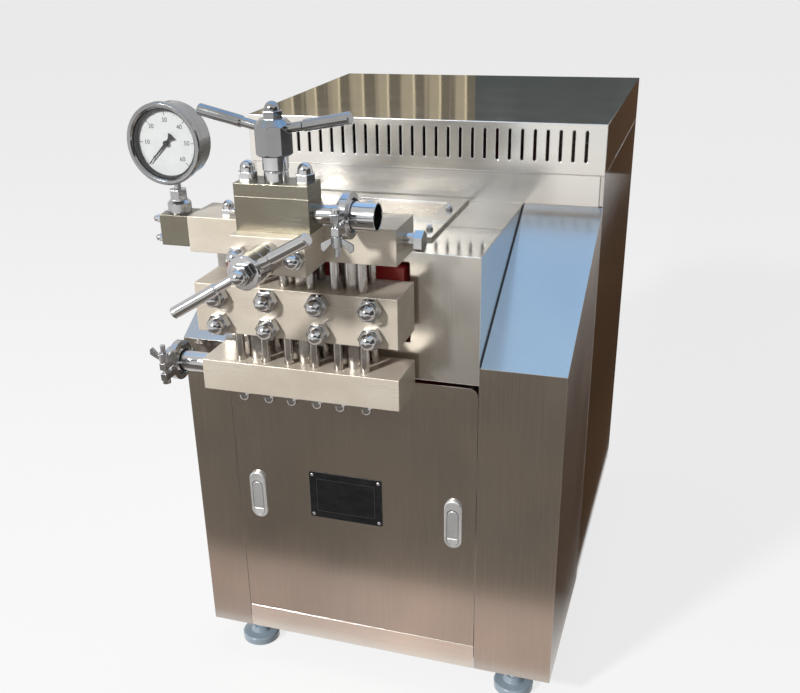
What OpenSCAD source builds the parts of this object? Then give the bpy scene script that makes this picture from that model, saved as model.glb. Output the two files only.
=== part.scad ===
// Three-plunger dairy homogenizer on a sheet-steel cabinet, in millimetres.
// The front faces -Y and +Z is up. Heights in the source are measured from
// the lower edge of the cabinet sheets, and place() stands the feet on z = 0.

/* [Cabinet] */
// Width over the side panels
cab_w = 616; // [600:1:680]
// Depth from the front sheets to the back panel
cab_d = 820; // [800:1:900]
// Thickness of the cabinet sheets
sheet_t = 2; // [1.5:0.5:3]
// Gap between neighbouring sheets
seam = 1; // [0.5:0.5:2]
// Width of the left column
left_col_w = 75; // [65:1:80]
// Width of the right column, over the belt drive
right_col_w = 129; // [120:1:140]
// Height where a column's front turns into its slope
col_front_h = 556; // [540:1:580]
// Height of the shoulder, where the slopes end, above the plunger axes
shoulder_rise = 76; // [74:1:110]
// Depth of the slopes
slope_d = 305; // [290:1:320]
// Depth of the folded edges of the columns
fold_d = 18; // [12:1:20]

/* [Front panel] */
// Lower edge of the front panel
door_low = 46; // [42:1:60]
// Upper edge of the front panel
door_top = 522; // [500:1:524]
// Radius of the panel's upper corners
door_r = 14; // [6:1:20]
// Depth of the panel's folded edges
door_fold = 18; // [12:1:20]
// Height of the latch centres
latch_z = 283; // [250:1:320]
// Latch centre to the panel's edge
latch_inset = 36; // [30:1:60]

/* [Latches] */
// Width of a latch bezel
latch_w = 32; // [30:1:40]
// Length of a latch bezel
latch_l = 90; // [88:1:110]
// How far the bezel stands proud
latch_proud = 6; // [5:0.5:8]
// Depth of the latch body behind the panel
latch_depth = 14; // [12:1:18]
// Diameter of the push button
button_d = 18; // [14:0.5:19]
// Travel of the push button
button_travel = 2.5; // [1.5:0.5:4]

/* [Cover and hood] */
// Lower edge of the crankcase cover
cover_low = 528; // [526:1:534]
// Height of the plain band under the hood
band_h = 51.5; // [40:0.5:60]
// How far the band stands in from the hood
band_inset = 7; // [5:1:12]
// Height of the vent hood
hood_h = 80.5; // [74:0.5:100]
// How far the hood stands out in front of the band
hood_proud = 4; // [2:1:8]
// Width of a vent slot
slot_w = 5; // [4.5:0.5:8]
// Height of a vent slot
slot_h = 50; // [40:1:56]
// Distance between vent slots
slot_pitch = 20.5; // [18:0.5:24]
// Height of the slots' middle above the band
slot_rise = 45; // [40:1:48]
// Number of vent slots
slot_n = 28; // [20:1:29]
// Width of the inspection lid
lid_w = 320; // [280:1:330]
// Thickness of the lid plates
lid_t = 5; // [3:0.5:8]
// Across flats of the lid bolts
lid_bolt_af = 10; // [8:1:14]
// Height of the lid bolts
lid_bolt_h = 8; // [7:1:12]
// Width of the lid's raised rim
lid_rim = 30; // [20:1:40]
// Depth of the fixed plate in front of the lid
lid_front_d = 82; // [60:1:100]
// Depth of the inspection lid
lid_rear_d = 150; // [120:1:160]

/* [Frame and feet] */
// Side of the square frame tubes
tube_w = 40; // [35:1:40]
// Wall of the frame tubes
tube_wall = 2.5; // [2:0.5:4]
// Height of the feet
foot_h = 60; // [50:1:80]
// Diameter of a foot's pad
foot_d = 68; // [50:1:80]
// Diameter of a foot's stem
foot_stem_d = 16; // [12:1:20]
// Distance between the feet across the cabinet
foot_span = 480; // [400:1:520]

/* [Pump head] */
// Pump centre line, from the cabinet's centre
pump_x = -71; // [-80:1:-65]
// Height of the plunger axes
plunger_z = 649; // [645:1:655]
// Length of the three blocks
block_l = 310; // [296:1:320]
// Depth of the three blocks
block_d = 80; // [76:1:90]
// Gap between the blocks and the cabinet front
head_gap = 12; // [8:1:16]
// Height of the pump block
pump_h = 74; // [70:1:76]
// Height of the suction block
suction_h = 48; // [44:1:50]
// Height of the discharge block
discharge_h = 51; // [48:1:56]
// Length of the valve sleeves between the blocks
sleeve_l = 47; // [44:1:52]
// Diameter of the valve sleeves
sleeve_d = 34; // [32:1:36]
// Distance between the cylinders
cyl_pitch = 78; // [76:1:84]
// Diameter of the tie studs
stud_d = 14; // [12:0.5:15]
// Tie stud to cylinder axis, across and along
stud_off = 20.5; // [20:0.5:24]
// Depth that the studs are screwed into the pump block
stud_in = 15; // [10:1:16]
// Diameter of the liquid passages
passage_d = 16; // [12:1:20]

/* [Plungers] */
// Diameter of a plunger
plunger_d = 28; // [24:1:30]
// Stroke of a plunger
stroke = 40; // [30:1:40]
// Diameter of a plunger's gland
gland_d = 44; // [40:1:48]
// Diameter of a crosshead
crosshead_d = 44; // [40:1:50]
// Length of a crosshead
crosshead_l = 60; // [50:1:70]

/* [Acorn nuts] */
// Across flats of the tie stud nuts
tie_af = 19; // [17:1:20]
// Height of the tie stud nuts
tie_nut_h = 22; // [18:1:24]
// Across flats of the pump block nuts
face_af = 30; // [26:1:32]
// Height of the pump block nuts
face_nut_h = 30; // [26:1:34]
// Row distance of the pump block nuts from the plunger axis
face_row = 21; // [18:1:22]
// Across flats of the stage nuts
stage_af = 24; // [20:1:26]
// Height of the stage nuts
stage_nut_h = 26; // [22:1:28]

/* [Pressure stages] */
// Width of both stage bodies
stage_w = 106; // [100:1:112]
// Depth of the second-stage body
stage2_d = 72; // [68:1:80]
// Depth of the first-stage body
stage1_d = 46; // [44:1:56]
// Height of the first-stage body
stage1_h = 47; // [44:1:60]
// First-stage axis in front of the discharge block
stage1_reach = 27; // [26:1:32]
// Thickness of the first-stage cap
cap_t = 17; // [14:1:22]
// Stage nut to stage axis
stage_nut_off = 41; // [38:1:44]
// Diameter of the first-stage bonnet
bonnet1_d = 35; // [34:1:40]
// Length of the first-stage bonnet
bonnet1_l = 34; // [30:1:40]
// Diameter of the second-stage bonnet
bonnet2_d = 43; // [38:1:46]
// Length of the second-stage bonnet
bonnet2_l = 48; // [42:1:54]
// Width of the first handwheel's hub
hub1_d = 52; // [48:1:56]
// Height of the first handwheel's hub
hub1_h = 46; // [40:1:50]
// Diameter of the second handwheel's hub
hub2_d = 46; // [42:1:50]
// Length of the second handwheel's hub
hub2_h = 27; // [24:1:32]
// Reach of the handwheel bars from the axis
bar_l = 116; // [100:1:120]
// Diameter of the handwheel bars
bar_d = 16; // [12:0.5:17]
// Tilt of the first handwheel's bars
bar1_tilt = 11; // [5:1:14]
// Tilt of the second handwheel's bars
bar2_tilt = 14; // [5:1:16]
// Turn of the first handwheel
bar1_turn = -8; // [-30:1:30]
// Turn of the second handwheel
bar2_turn = 30; // [0:1:60]
// Diameter of the push rods
rod_d = 16; // [14:1:18]
// Diameter of the handwheel stems
stem_d = 24; // [22:1:26]

/* [Gauge] */
// Width and depth of the gauge block
gauge_block_w = 44; // [40:1:48]
// Diameter of the gauge's bezel
gauge_d = 113; // [100:1:114]
// Depth of the gauge's case
gauge_depth = 46; // [42:1:50]
// Back of the gauge's case to its stem
gauge_set = 17; // [15:1:20]
// Depth of the dial behind the bezel
dial_in = 13; // [12:0.5:16]
// Height of the gauge's centre above its block
gauge_rise = 101; // [98:1:112]
// Diameter of the stem under the gauge
gauge_stem_d = 9.5; // [8:0.5:12]

/* [Pipes] */
// Outer diameter of the inlet pipe
inlet_d = 32; // [28:1:34]
// Length of the inlet pipe
inlet_l = 62; // [55:1:80]
// Outer diameter of the outlet pipe
outlet_d = 25.4; // [22:0.2:28]
// Length of the outlet pipe
outlet_l = 46; // [42:1:56]
// Outer diameter of the open stubs
stub_d = 38; // [34:1:39]
// Length of the outlet's open stub
outlet_stub_l = 40; // [30:1:50]
// Length of the inlet's open stub
inlet_stub_l = 18; // [16:1:40]
// Wall of the pipes
pipe_wall = 2; // [1.5:0.5:3]
// Diameter of the clamp ferrules
ferrule_d = 50.5; // [50:0.1:52]
// Thickness of a clamp ferrule
ferrule_t = 3; // [2.5:0.5:4]
// Outer diameter of the pipe clamps
clamp_d = 62; // [60:1:66]
// Width of the pipe clamps
clamp_w = 14; // [13:1:18]
// Span of the wing nuts
wing_span = 44; // [36:1:44]

/* [Drive] */
// Height of the drive shaft
drive_z = 540; // [530:1:550]
// Drive shaft behind the cabinet front
drive_y = 380; // [375:1:390]
// Diameter of the drive pulley
drive_pulley_d = 300; // [280:1:304]
// Diameter of the motor pulley
motor_pulley_d = 140; // [120:1:160]
// Centre of the pulleys across the cabinet
pulley_x = 225; // [222:1:226]
// Number of belts
belt_n = 3; // [2:1:3]
// Distance between belts
belt_pitch = 20; // [19:1:20]
// Width of a belt
belt_w = 13; // [12:0.5:14]
// Thickness of a belt
belt_t = 10; // [8:0.5:11]
// Diameter of the drive shaft
drive_shaft_d = 45; // [40:1:50]
// Diameter of the motor shaft
motor_shaft_d = 38; // [32:1:42]
// Motor axis behind the cabinet front
motor_y = 600; // [580:1:640]
// Height of the motor's shaft above its feet
motor_axis_h = 132; // [125:1:140]
// Diameter of the motor
motor_d = 240; // [220:1:245]
// Length of the motor
motor_l = 340; // [300:1:360]
// Width of the crankcase
case_w = 280; // [276:1:290]
// Depth of the crankcase
case_d = 440; // [436:1:450]
// Height of the crankcase's lower face
case_low = 420; // [410:1:430]

/* [Clearances] */
// Radial clearance of shafts, rods and pins in their bores
run_c = 0.05; // [0.03:0.01:0.08]
// Radial clearance of studs and necks in their holes
hole_c = 0.3; // [0.2:0.05:0.5]
// Gap between faces that move past each other
move_c = 0.5; // [0.4:0.1:0.8]
// Gap between the front panel and the edge that it stands on
seat_c = 0.3; // [0.2:0.05:0.5]
// Gap left between tubes at their welds
weld_c = 0.2; // [0.1:0.1:0.3]

/* [Hidden] */
$fn = 64;
eps = 0.01;
over = 1;

// Cabinet lines
shoulder_h = plunger_z + shoulder_rise;
x_l = -cab_w / 2;
x_r = cab_w / 2;
col_l = x_l + left_col_w;
col_r = x_r - right_col_w;
slope_a = atan((shoulder_h - col_front_h) / slope_d);
slope_drop = sheet_t / cos(slope_a);
band_top = shoulder_h + band_h;
hood_top = band_top + hood_h;
hood_lip = band_inset + 3 * sheet_t;
door_x0 = col_l + seam;
door_x1 = col_r - seam;
door_w = door_x1 - door_x0;
door_h = door_top - door_low;
lid_y = slope_d - hood_proud - 4 * seam;
lid_front_y = lid_y - lid_rear_d - seam;

// Latch lines
latch_x = [door_x0 + latch_inset, door_x1 - latch_inset];
latch_body_w = latch_w - 5;
latch_body_l = latch_l - 5;
grip_w = latch_w - 10;
grip_l = latch_l * 0.56;
grip_t = latch_proud + 2;
grip_pin_d = 5;
grip_pin_out = 1.5;
grip_pin_z = latch_l / 2 - 14;
grip_pin_y = grip_t / 2 - latch_proud;
button_z = -latch_l / 2 + 4 + button_d / 2;
button_in = 3.5;
button_dome = 1.5;

// Pump head lines
blk_back = -head_gap;
blk_front = blk_back - block_d;
blk_y = blk_back - block_d / 2;
blk_x0 = pump_x - block_l / 2;
blk_x1 = pump_x + block_l / 2;
pump_low = plunger_z - pump_h / 2;
pump_top = plunger_z + pump_h / 2;
suct_top = pump_low - sleeve_l;
suct_low = suct_top - suction_h;
disch_low = pump_top + sleeve_l;
disch_top = disch_low + discharge_h;
suct_z = (suct_low + suct_top) / 2;
disch_z = (disch_low + disch_top) / 2;
cyls = [for (i = [-1:1]) pump_x + i * cyl_pitch];
tie_spots = [for (x = cyls, dx = [-1, 1], dy = [-1, 1]) [x + dx * stud_off, blk_y + dy * stud_off]];
face_cols = [for (i = [-3:2:3]) pump_x + i * cyl_pitch / 2];
face_spots = [for (x = face_cols, s = [-1, 1]) [x, plunger_z + s * face_row]];
chamber_d = plunger_d + 6;
chamber_end = 12;
gland_l = 20;

// Stage lines
st2_front = blk_front - stage2_d;
st1_y = blk_front - stage1_reach;
st1_top = disch_top + stage1_h;
cap_top = st1_top + cap_t;
hub1_z = cap_top + bonnet1_l;
hub2_y = st2_front - bonnet2_l;
stem_l = 20;
hub_chamfer = 3;
hub_dome = 9;
rod_travel = 1.5;
seat1_in = 12;
seat2_in = 20;
link_d = passage_d * 0.6;
rod_gap = rod_travel + move_c;

// Radius of an acorn nut's dome as a share of its width across flats
dome_share = 0.42;

// Gauge lines
gauge_x = blk_x0 - gauge_block_w / 2;
gauge_y = blk_front + gauge_block_w / 2;
gauge_z = disch_top + gauge_rise;
glass_r = gauge_d / 2 - 8;
gauge_back = gauge_y + gauge_set;
gauge_front = gauge_back - gauge_depth;
dial_y = gauge_front + dial_in;
glass_t = 2;
glass_inset = 3;
needle_l = gauge_d * 0.36;
needle_pin_d = 3;
needle_tail_w = 12;
needle_turn = 45;
lower_nut_r = 17;
lower_nut_h = 18;
upper_nut_af = 23;
upper_nut_h = 15;
gauge_bolt_af = 11;
gauge_bolt_h = 14;
gauge_bolt_in = 8;

// Pipe lines
ferrule_pair = 2 * ferrule_t + move_c;
inlet_x = blk_x0 - inlet_l - move_c / 2;
outlet_x0 = pump_x + stage_w / 2;
outlet_x = outlet_x0 + outlet_l + move_c / 2;
outlet_z = disch_top + stage1_h / 2;
bolt_d = 8;
bolt_r = clamp_d / 2 + 15;
ear_t = 11;
ear_w = 10;
split_w = 6;
wing_z0 = split_w / 2 + ear_t + move_c;
wing_hub_d = 15;
wing_h = 14;
wing_hub_h = 8;

// Frame and drive lines
frame_x = x_r - sheet_t;
front_y = door_fold + 8;
back_y = cab_d - sheet_t - tube_w;
mid_y = drive_y + 50;
motor_z = tube_w + motor_axis_h;
motor_foot_off = 108;
motor_x = pulley_x - 145;
motor_bore_l = 60;
drive_bore_in = 150;
shaft_end = pulley_x + belt_n * belt_pitch / 2 + 6;
pulley_w = belt_n * belt_pitch;
groove_depth = belt_t + 2;
function belt_at(i) = (i - (belt_n - 1) / 2) * belt_pitch;
case_x0 = pump_x - case_w / 2;
case_x1 = pump_x + case_w / 2;
case_front = 30;
case_top = shoulder_h - 25;
neck_low = pump_low - 20;
neck_top = pump_top + 19;
boss_l = 40;
rail_off = 100;
neck_c = 2;
foot_bearer_y = back_y - tube_w - weld_c;
foot_rows = [front_y + tube_w / 2, foot_bearer_y + tube_w / 2];
side_tubes = [-frame_x, frame_x - tube_w];
rail_tubes = [for (s = [-1, 1]) pump_x + s * rail_off - tube_w / 2];
motor_rows = [for (s = [-1, 1]) motor_y + s * motor_foot_off - tube_w / 2];

// Box of the whole machine, for the origin under its middle
box_x0 = inlet_x - wing_span / 2;
box_x1 = x_r;
box_y0 = hub2_y - hub2_h - stage_nut_h;
box_y1 = cab_d;
org = [(box_x0 + box_x1) / 2, (box_y0 + box_y1) / 2];

steel = "#b9b2a8";
bright = "#d8d6d2";
chrome = "#c9cbce";
machined = "#cbbfae";
olive = "#98917f";

// Moves the machine so that its origin is under the middle of its box
module place() {
  translate([-org[0], -org[1], foot_h]) children();
}

// Turns a shape whose axis is +Z to face the front, the right or the left
module to_front(x, y, z) {
  translate([x, y, z]) rotate([90, 0, 0]) children();
}

module to_right(x, y, z) {
  translate([x, y, z]) rotate([0, 90, 0]) children();
}

module to_left(x, y, z) {
  translate([x, y, z]) rotate([0, -90, 0]) children();
}

module block(x0, x1, y0, y1, z0, z1) {
  translate([x0, y0, z0]) cube([x1 - x0, y1 - y0, z1 - z0]);
}

// Extrudes a side outline, drawn as [y, z], from x0 to x1
module side_profile(x0, x1) {
  translate([x0, 0, 0]) rotate([90, 0, 90]) linear_extrude(x1 - x0) children();
}

module hex(af, h) {
  cylinder(d = af / cos(30), h = h, $fn = 6);
}

// Closed nut with a hexagon base and a domed cap
module acorn(af, h) {
  dome_r = af * dome_share;
  hex(af, h * 0.45);
  rotate_extrude() {
    square([dome_r, h - dome_r]);
    intersection() {
      translate([0, h - dome_r]) circle(dome_r);
      square([dome_r, h]);
    }
  }
}

// Slot shape with round ends, standing along the second axis
module stadium(w, l) {
  square([w, l - w], center = true);
  for (s = [-1, 1]) translate([0, s * (l - w) / 2]) circle(d = w);
}

// Square tubes of the frame, along each axis
module tube_x(x0, x1, y, z) {
  difference() {
    block(x0, x1, y, y + tube_w, z, z + tube_w);
    block(x0 - over, x1 + over, y + tube_wall, y + tube_w - tube_wall,
      z + tube_wall, z + tube_w - tube_wall);
  }
}

module tube_y(x, y0, y1, z) {
  difference() {
    block(x, x + tube_w, y0, y1, z, z + tube_w);
    block(x + tube_wall, x + tube_w - tube_wall, y0 - over, y1 + over,
      z + tube_wall, z + tube_w - tube_wall);
  }
}

module tube_z(x, y, z0, z1) {
  difference() {
    block(x, x + tube_w, y, y + tube_w, z0, z1);
    block(x + tube_wall, x + tube_w - tube_wall, y + tube_wall, y + tube_w - tube_wall,
      z0 - over, z1 + over);
  }
}

// Bottom ring, posts, crankcase rails on their legs and motor bearers
module base_frame() {
  color("#8d9094") place() {
    difference() {
      union() {
        for (y = [front_y, back_y]) tube_x(-frame_x, frame_x, y, 0);
        tube_x(-frame_x + tube_w + weld_c, frame_x - tube_w - weld_c, foot_bearer_y, 0);
      }
      for (x = [-1, 1], y = foot_rows) translate([x * foot_span / 2, y, -over])
        cylinder(d = foot_stem_d + 2 * hole_c, h = tube_wall + 2 * over);
    }
    for (x = side_tubes) {
      tube_y(x, front_y + tube_w + weld_c, back_y - weld_c, 0);
      tube_z(x, front_y, tube_w + weld_c, col_front_h - tube_w);
      tube_z(x, back_y, tube_w + weld_c, shoulder_h - sheet_t);
      tube_z(x, mid_y, tube_w + weld_c, shoulder_h - sheet_t);
      tube_y(x, mid_y + tube_w + weld_c, back_y - weld_c, shoulder_h - sheet_t - tube_w);
    }
    for (y = concat(motor_rows, [mid_y - tube_w]))
      tube_x(-frame_x + tube_w + weld_c, frame_x - tube_w - weld_c, y, 0);
    for (x = rail_tubes) {
      tube_z(x, front_y, tube_w + weld_c, case_low - tube_w - weld_c);
      tube_z(x, mid_y - tube_w, tube_w + weld_c, case_low - tube_w - weld_c);
      tube_y(x, front_y, mid_y, case_low - tube_w);
    }
  }
}

// Levelling feet: pad, neck, lock nut and stem
module feet() {
  pad_h = foot_h * 0.25;
  cone_h = foot_h * 0.42;
  nut_h = foot_h * 0.2;
  color("#6f8296") place()
    for (x = [-1, 1], y = foot_rows) translate([x * foot_span / 2, y, -foot_h]) {
      rotate_extrude() polygon([
        [0, 0], [foot_d / 2 - 2, 0], [foot_d / 2, 2], [foot_d / 2, pad_h - 2],
        [foot_d / 2 - 2, pad_h], [foot_d * 0.27, pad_h + 2], [foot_d * 0.2, cone_h],
        [foot_stem_d / 2, cone_h], [foot_stem_d / 2, foot_h + tube_w / 2], [0, foot_h + tube_w / 2]
      ]);
      translate([0, 0, foot_h - nut_h]) hex(foot_stem_d * 1.5, nut_h);
    }
}

// Outline of a column seen from the side, drawn in by a thickness
module column_outline(t, low, back) {
  drop = t == 0 ? 0 : slope_drop;
  polygon([
    [t, low], [t, col_front_h + t * tan(slope_a) - drop],
    [back, shoulder_h + (back - slope_d) * tan(slope_a) - drop], [back, low]
  ]);
}

// Folded sheet of a column: front, slope and outer side, open to the inside
module column(x_out, x_in) {
  side = sign(x_in - x_out);
  x_a = min(x_out, x_in);
  x_b = max(x_out, x_in);
  difference() {
    side_profile(x_a, x_b) column_outline(0, 0, slope_d);
    side_profile(side > 0 ? x_a + sheet_t : x_a - over, side > 0 ? x_b + over : x_b - sheet_t)
      column_outline(sheet_t, -over, slope_d + over);
  }
  block(side > 0 ? x_b - sheet_t : x_a, side > 0 ? x_b : x_a + sheet_t,
    sheet_t - eps, fold_d, 0, col_front_h - sheet_t);
}

module left_column() {
  color(steel) place() column(x_l, col_l);
}

module right_column() {
  color(steel) place() column(x_r, col_r);
}

// Strip below the front panel, with a fold that meets the frame
module skirt() {
  color(steel) place() {
    block(door_x0, door_x1, 0, sheet_t, 0, door_low - seat_c);
    block(door_x0, door_x1, sheet_t - eps, front_y, tube_w / 2, tube_w / 2 + sheet_t);
  }
}

// Folded cover over the crankcase, open below and behind
module crankcase_cover() {
  gap = 5;
  color(steel) place() difference() {
    block(col_l, col_r, 0, slope_d, cover_low, shoulder_h);
    block(col_l + sheet_t, col_r - sheet_t, sheet_t, slope_d + over, cover_low - over, shoulder_h - sheet_t);
    block(case_x0 - gap, case_x1 + gap, -over, sheet_t + over, neck_low - gap, neck_top + gap);
    block(pump_x - lid_w / 2 + lid_rim, pump_x + lid_w / 2 - lid_rim, lid_y - lid_rear_d + lid_rim,
      lid_y - lid_rim, shoulder_h - sheet_t - over, shoulder_h + over);
  }
}

// Fixed front plate and the lid behind it
module inspection_lid() {
  color(bright) place() {
    difference() {
      block(pump_x - lid_w / 2, pump_x + lid_w / 2, lid_y - lid_rear_d, lid_y,
        shoulder_h, shoulder_h + lid_t);
      block(pump_x - lid_w / 2 + lid_rim, pump_x + lid_w / 2 - lid_rim, lid_y - lid_rear_d + lid_rim,
        lid_y - lid_rim, shoulder_h + lid_t / 2, shoulder_h + lid_t + over);
    }
    block(pump_x - lid_w / 2, pump_x + lid_w / 2, lid_front_y - lid_front_d, lid_front_y,
      shoulder_h, shoulder_h + lid_t);
  }
}

// Domed bolts that hold the lid and its front plate
module lid_bolts() {
  color(chrome) place()
    for (x = [-1, 1], y = [lid_y - lid_rear_d / 2, lid_front_y - lid_front_d / 2])
      translate([pump_x + x * (lid_w - lid_rim) / 2, y, shoulder_h + lid_t]) acorn(lid_bolt_af, lid_bolt_h);
}

// Plain rectangular band between the side panels, under the hood
module rear_band() {
  x = x_r - band_inset;
  y1 = cab_d - sheet_t;
  color(bright) place() difference() {
    block(-x, x, slope_d, y1, shoulder_h, band_top);
    block(-x + sheet_t, x - sheet_t, slope_d + sheet_t, y1 - sheet_t, shoulder_h - over, band_top + over);
  }
}

// Hood with a row of vent slots and a lip that rests on the band
module vent_hood() {
  y0 = slope_d - hood_proud;
  slot_z = band_top + slot_rise;
  lip_top = band_top + sheet_t;
  color(bright) place() difference() {
    block(x_l, x_r, y0, cab_d, band_top, hood_top);
    block(x_l + sheet_t, x_r - sheet_t, y0 + sheet_t, cab_d - sheet_t, lip_top, hood_top - sheet_t);
    block(x_l + hood_lip, x_r - hood_lip, y0 + hood_lip, cab_d - hood_lip, band_top - over, lip_top + over);
    for (i = [0:slot_n - 1]) translate([(i - (slot_n - 1) / 2) * slot_pitch, y0 - over, slot_z])
      rotate([-90, 0, 0]) linear_extrude(sheet_t + 2 * over) stadium(slot_w, slot_h);
  }
}

// Side sheets behind the columns, turned in at the front to hold the band
module side_panels() {
  color(steel) place() for (s = [0, 1]) mirror([s, 0, 0]) {
    block(x_r - sheet_t, x_r, slope_d + seam, cab_d, 0, band_top);
    block(x_r - band_inset, x_r, slope_d + seam, slope_d + seam + sheet_t, shoulder_h + seam, band_top);
  }
}

module back_panel() {
  color(steel) place()
    block(x_l + sheet_t, x_r - sheet_t, cab_d - sheet_t, cab_d, 0, band_top);
}

// Outline of the front panel, with round upper corners
module door_outline(inset) {
  r = max(door_r - inset, 1);
  w = door_w / 2 - inset;
  translate([-w, -door_h / 2 + inset]) square([2 * w, door_h - 2 * inset - r]);
  translate([-w + r, door_h / 2 - inset - r - eps]) square([2 * (w - r), r + eps]);
  for (s = [-1, 1]) translate([s * (w - r), door_h / 2 - inset - r]) circle(r);
}

// Panel folded back at its edges, with a cut-out for each latch
module front_panel() {
  color(steel) place() difference() {
    to_front((door_x0 + door_x1) / 2, door_fold, (door_low + door_top) / 2) difference() {
      linear_extrude(door_fold) door_outline(0);
      translate([0, 0, -over]) linear_extrude(door_fold - sheet_t + over) door_outline(sheet_t);
    }
    for (x = latch_x) to_front(x, sheet_t + over, latch_z)
      linear_extrude(sheet_t + 2 * over) stadium(latch_body_w + 2 * hole_c, latch_body_l + 2 * hole_c);
  }
}

// Bezels with a pocket for the handle, a pin bore and a bore for the button
module latch_bezels() {
  color("#c9cccf") place() for (x = latch_x) difference() {
    union() {
      to_front(x, 0, latch_z) linear_extrude(latch_proud) stadium(latch_w, latch_l);
      to_front(x, latch_depth, latch_z)
        linear_extrude(latch_depth + eps) stadium(latch_body_w, latch_body_l);
    }
    block(x - grip_w / 2 - move_c, x + grip_w / 2 + move_c, -latch_proud - over,
      grip_pin_y + grip_t / 2 + 2 * move_c, latch_z + grip_pin_z - grip_l + grip_t,
      latch_z + grip_pin_z + grip_t / 2 + 2 * move_c);
    to_right(x - grip_w / 2 - grip_pin_out - move_c, grip_pin_y, latch_z + grip_pin_z)
      cylinder(d = grip_pin_d + 2 * run_c, h = grip_w + 2 * (grip_pin_out + move_c));
    to_front(x, button_in + button_travel + move_c, latch_z + button_z)
      cylinder(d = button_d + 2 * hole_c, h = latch_proud + button_in + button_travel + move_c + over);
  }
}

// Flip handle with its hinge pin
module latch_handle(x) {
  color("#d3d6d8") place() {
    block(x - grip_w / 2, x + grip_w / 2, grip_pin_y - grip_t / 2, grip_pin_y + grip_t / 2,
      latch_z + grip_pin_z - grip_l + grip_t + move_c, latch_z + grip_pin_z);
    to_right(x - grip_w / 2, grip_pin_y, latch_z + grip_pin_z) cylinder(d = grip_t, h = grip_w);
    to_right(x - grip_w / 2 - grip_pin_out, grip_pin_y, latch_z + grip_pin_z)
      cylinder(d = grip_pin_d, h = grip_w + 2 * grip_pin_out);
  }
}

module latch_button(x) {
  l = button_in + latch_proud + button_dome;
  color("#dfe1e2") place() to_front(x, button_in, latch_z + button_z) rotate_extrude() polygon([
    [0, 0], [button_d / 2, 0], [button_d / 2, l - button_dome], [button_d / 2 - button_dome, l], [0, l]
  ]);
}

// Cast crankcase with a front neck, shaft bosses, a top flange and crosshead bores
module crankcase() {
  bore_front = case_front + 20;
  bore_back = bore_front + 2 * crosshead_l + stroke;
  case_back = case_front + case_d;
  crank_y = case_front + case_d * 0.42;
  crank_z = plunger_z - 30;
  crank_boss_d = 150;
  crank_boss_l = 14;
  roof_cut = 90;
  flange = 12;
  plate_t = 15;
  drive_bore_l = drive_bore_in + boss_l;
  color("#b3201d") place() difference() {
    union() {
      side_profile(case_x0, case_x1) polygon([
        [case_front, case_low], [case_back, case_low], [case_back, drive_z + 60],
        [case_back - roof_cut, case_top], [case_front, case_top]
      ]);
      block(case_x0, case_x1, blk_back, case_front + eps, neck_low, neck_top);
      block(case_x0 - flange, case_x1 + flange, case_front + flange, case_back - roof_cut - flange,
        case_top - flange, case_top);
      block(rail_tubes[0], rail_tubes[1] + tube_w, front_y, mid_y, case_low, case_low + plate_t);
      to_right(case_x1 - eps, drive_y, drive_z) cylinder(d = drive_shaft_d + 80, h = boss_l + eps);
      to_right(case_x0 - crank_boss_l, crank_y, crank_z)
        cylinder(d = crank_boss_d, h = case_w + 2 * crank_boss_l);
    }
    for (x = cyls) {
      to_front(x, bore_front, plunger_z)
        cylinder(d = plunger_d + 2 * neck_c, h = bore_front + head_gap + over);
      to_front(x, bore_back, plunger_z)
        cylinder(d = crosshead_d + 2 * run_c, h = bore_back - bore_front + eps);
    }
    to_right(case_x1 + boss_l - drive_bore_l, drive_y, drive_z)
      cylinder(d = drive_shaft_d + 2 * run_c, h = drive_bore_l + over);
  }
}

// Foot-mounted motor with end bells, fan cowl, ribs and terminal box
module motor() {
  body_r = motor_d / 2 - 10;
  bell_r = body_r + 6;
  cowl_l = 80;
  bell_l = 50;
  nose_l = 30;
  rib_t = 3;
  rib_step = 15;
  foot_w = 44;
  foot_t = 16;
  box_w = 100;
  x0 = motor_x - motor_l;
  foot_x0 = x0 + cowl_l + nose_l;
  foot_x1 = motor_x - cowl_l;
  color("#4a5a66") place() difference() {
    union() {
      to_right(x0, motor_y, motor_z) rotate_extrude() polygon([
        [0, 0], [body_r * 0.8, 0], [bell_r, nose_l / 2], [bell_r, cowl_l], [body_r, cowl_l],
        [body_r, motor_l - bell_l], [bell_r, motor_l - bell_l], [bell_r, motor_l - nose_l],
        [body_r * 0.55, motor_l], [0, motor_l]
      ]);
      for (a = [0:rib_step:360 - rib_step])
        translate([x0 + cowl_l + rib_t, motor_y, motor_z]) rotate([a, 0, 0]) translate([0, -rib_t / 2, 0])
          cube([motor_l - cowl_l - bell_l - 2 * rib_t, rib_t, motor_d / 2]);
      for (s = [-1, 1]) block(foot_x0, foot_x1, motor_y + s * motor_foot_off - foot_w / 2,
        motor_y + s * motor_foot_off + foot_w / 2, tube_w, tube_w + foot_t);
      block(foot_x0, foot_x1, motor_y - motor_foot_off, motor_y + motor_foot_off,
        tube_w, motor_z - body_r * 0.8);
      block(foot_x1 - box_w, foot_x1, motor_y - box_w / 2, motor_y + box_w / 2,
        motor_z, motor_z + motor_d / 2 + box_w * 0.4);
    }
    to_right(motor_x - motor_bore_l, motor_y, motor_z)
      cylinder(d = motor_shaft_d + 2 * run_c, h = motor_bore_l + over);
  }
}

// Grooved pulley, bored for its shaft, with its axis along +Z
module pulley(d, bore) {
  floor_r = d / 2 - groove_depth;
  floor_w = belt_w / 2 + 0.8;
  mouth_w = belt_w / 2 + 1.6;
  difference() {
    cylinder(d = d, h = pulley_w, center = true);
    cylinder(d = bore + 2 * run_c, h = pulley_w + 2 * over, center = true);
    for (i = [0:belt_n - 1]) translate([0, 0, belt_at(i)]) rotate_extrude() polygon([
      [d / 2 + over, -mouth_w], [floor_r, -floor_w], [floor_r, floor_w], [d / 2 + over, mouth_w]
    ]);
  }
}

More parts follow.
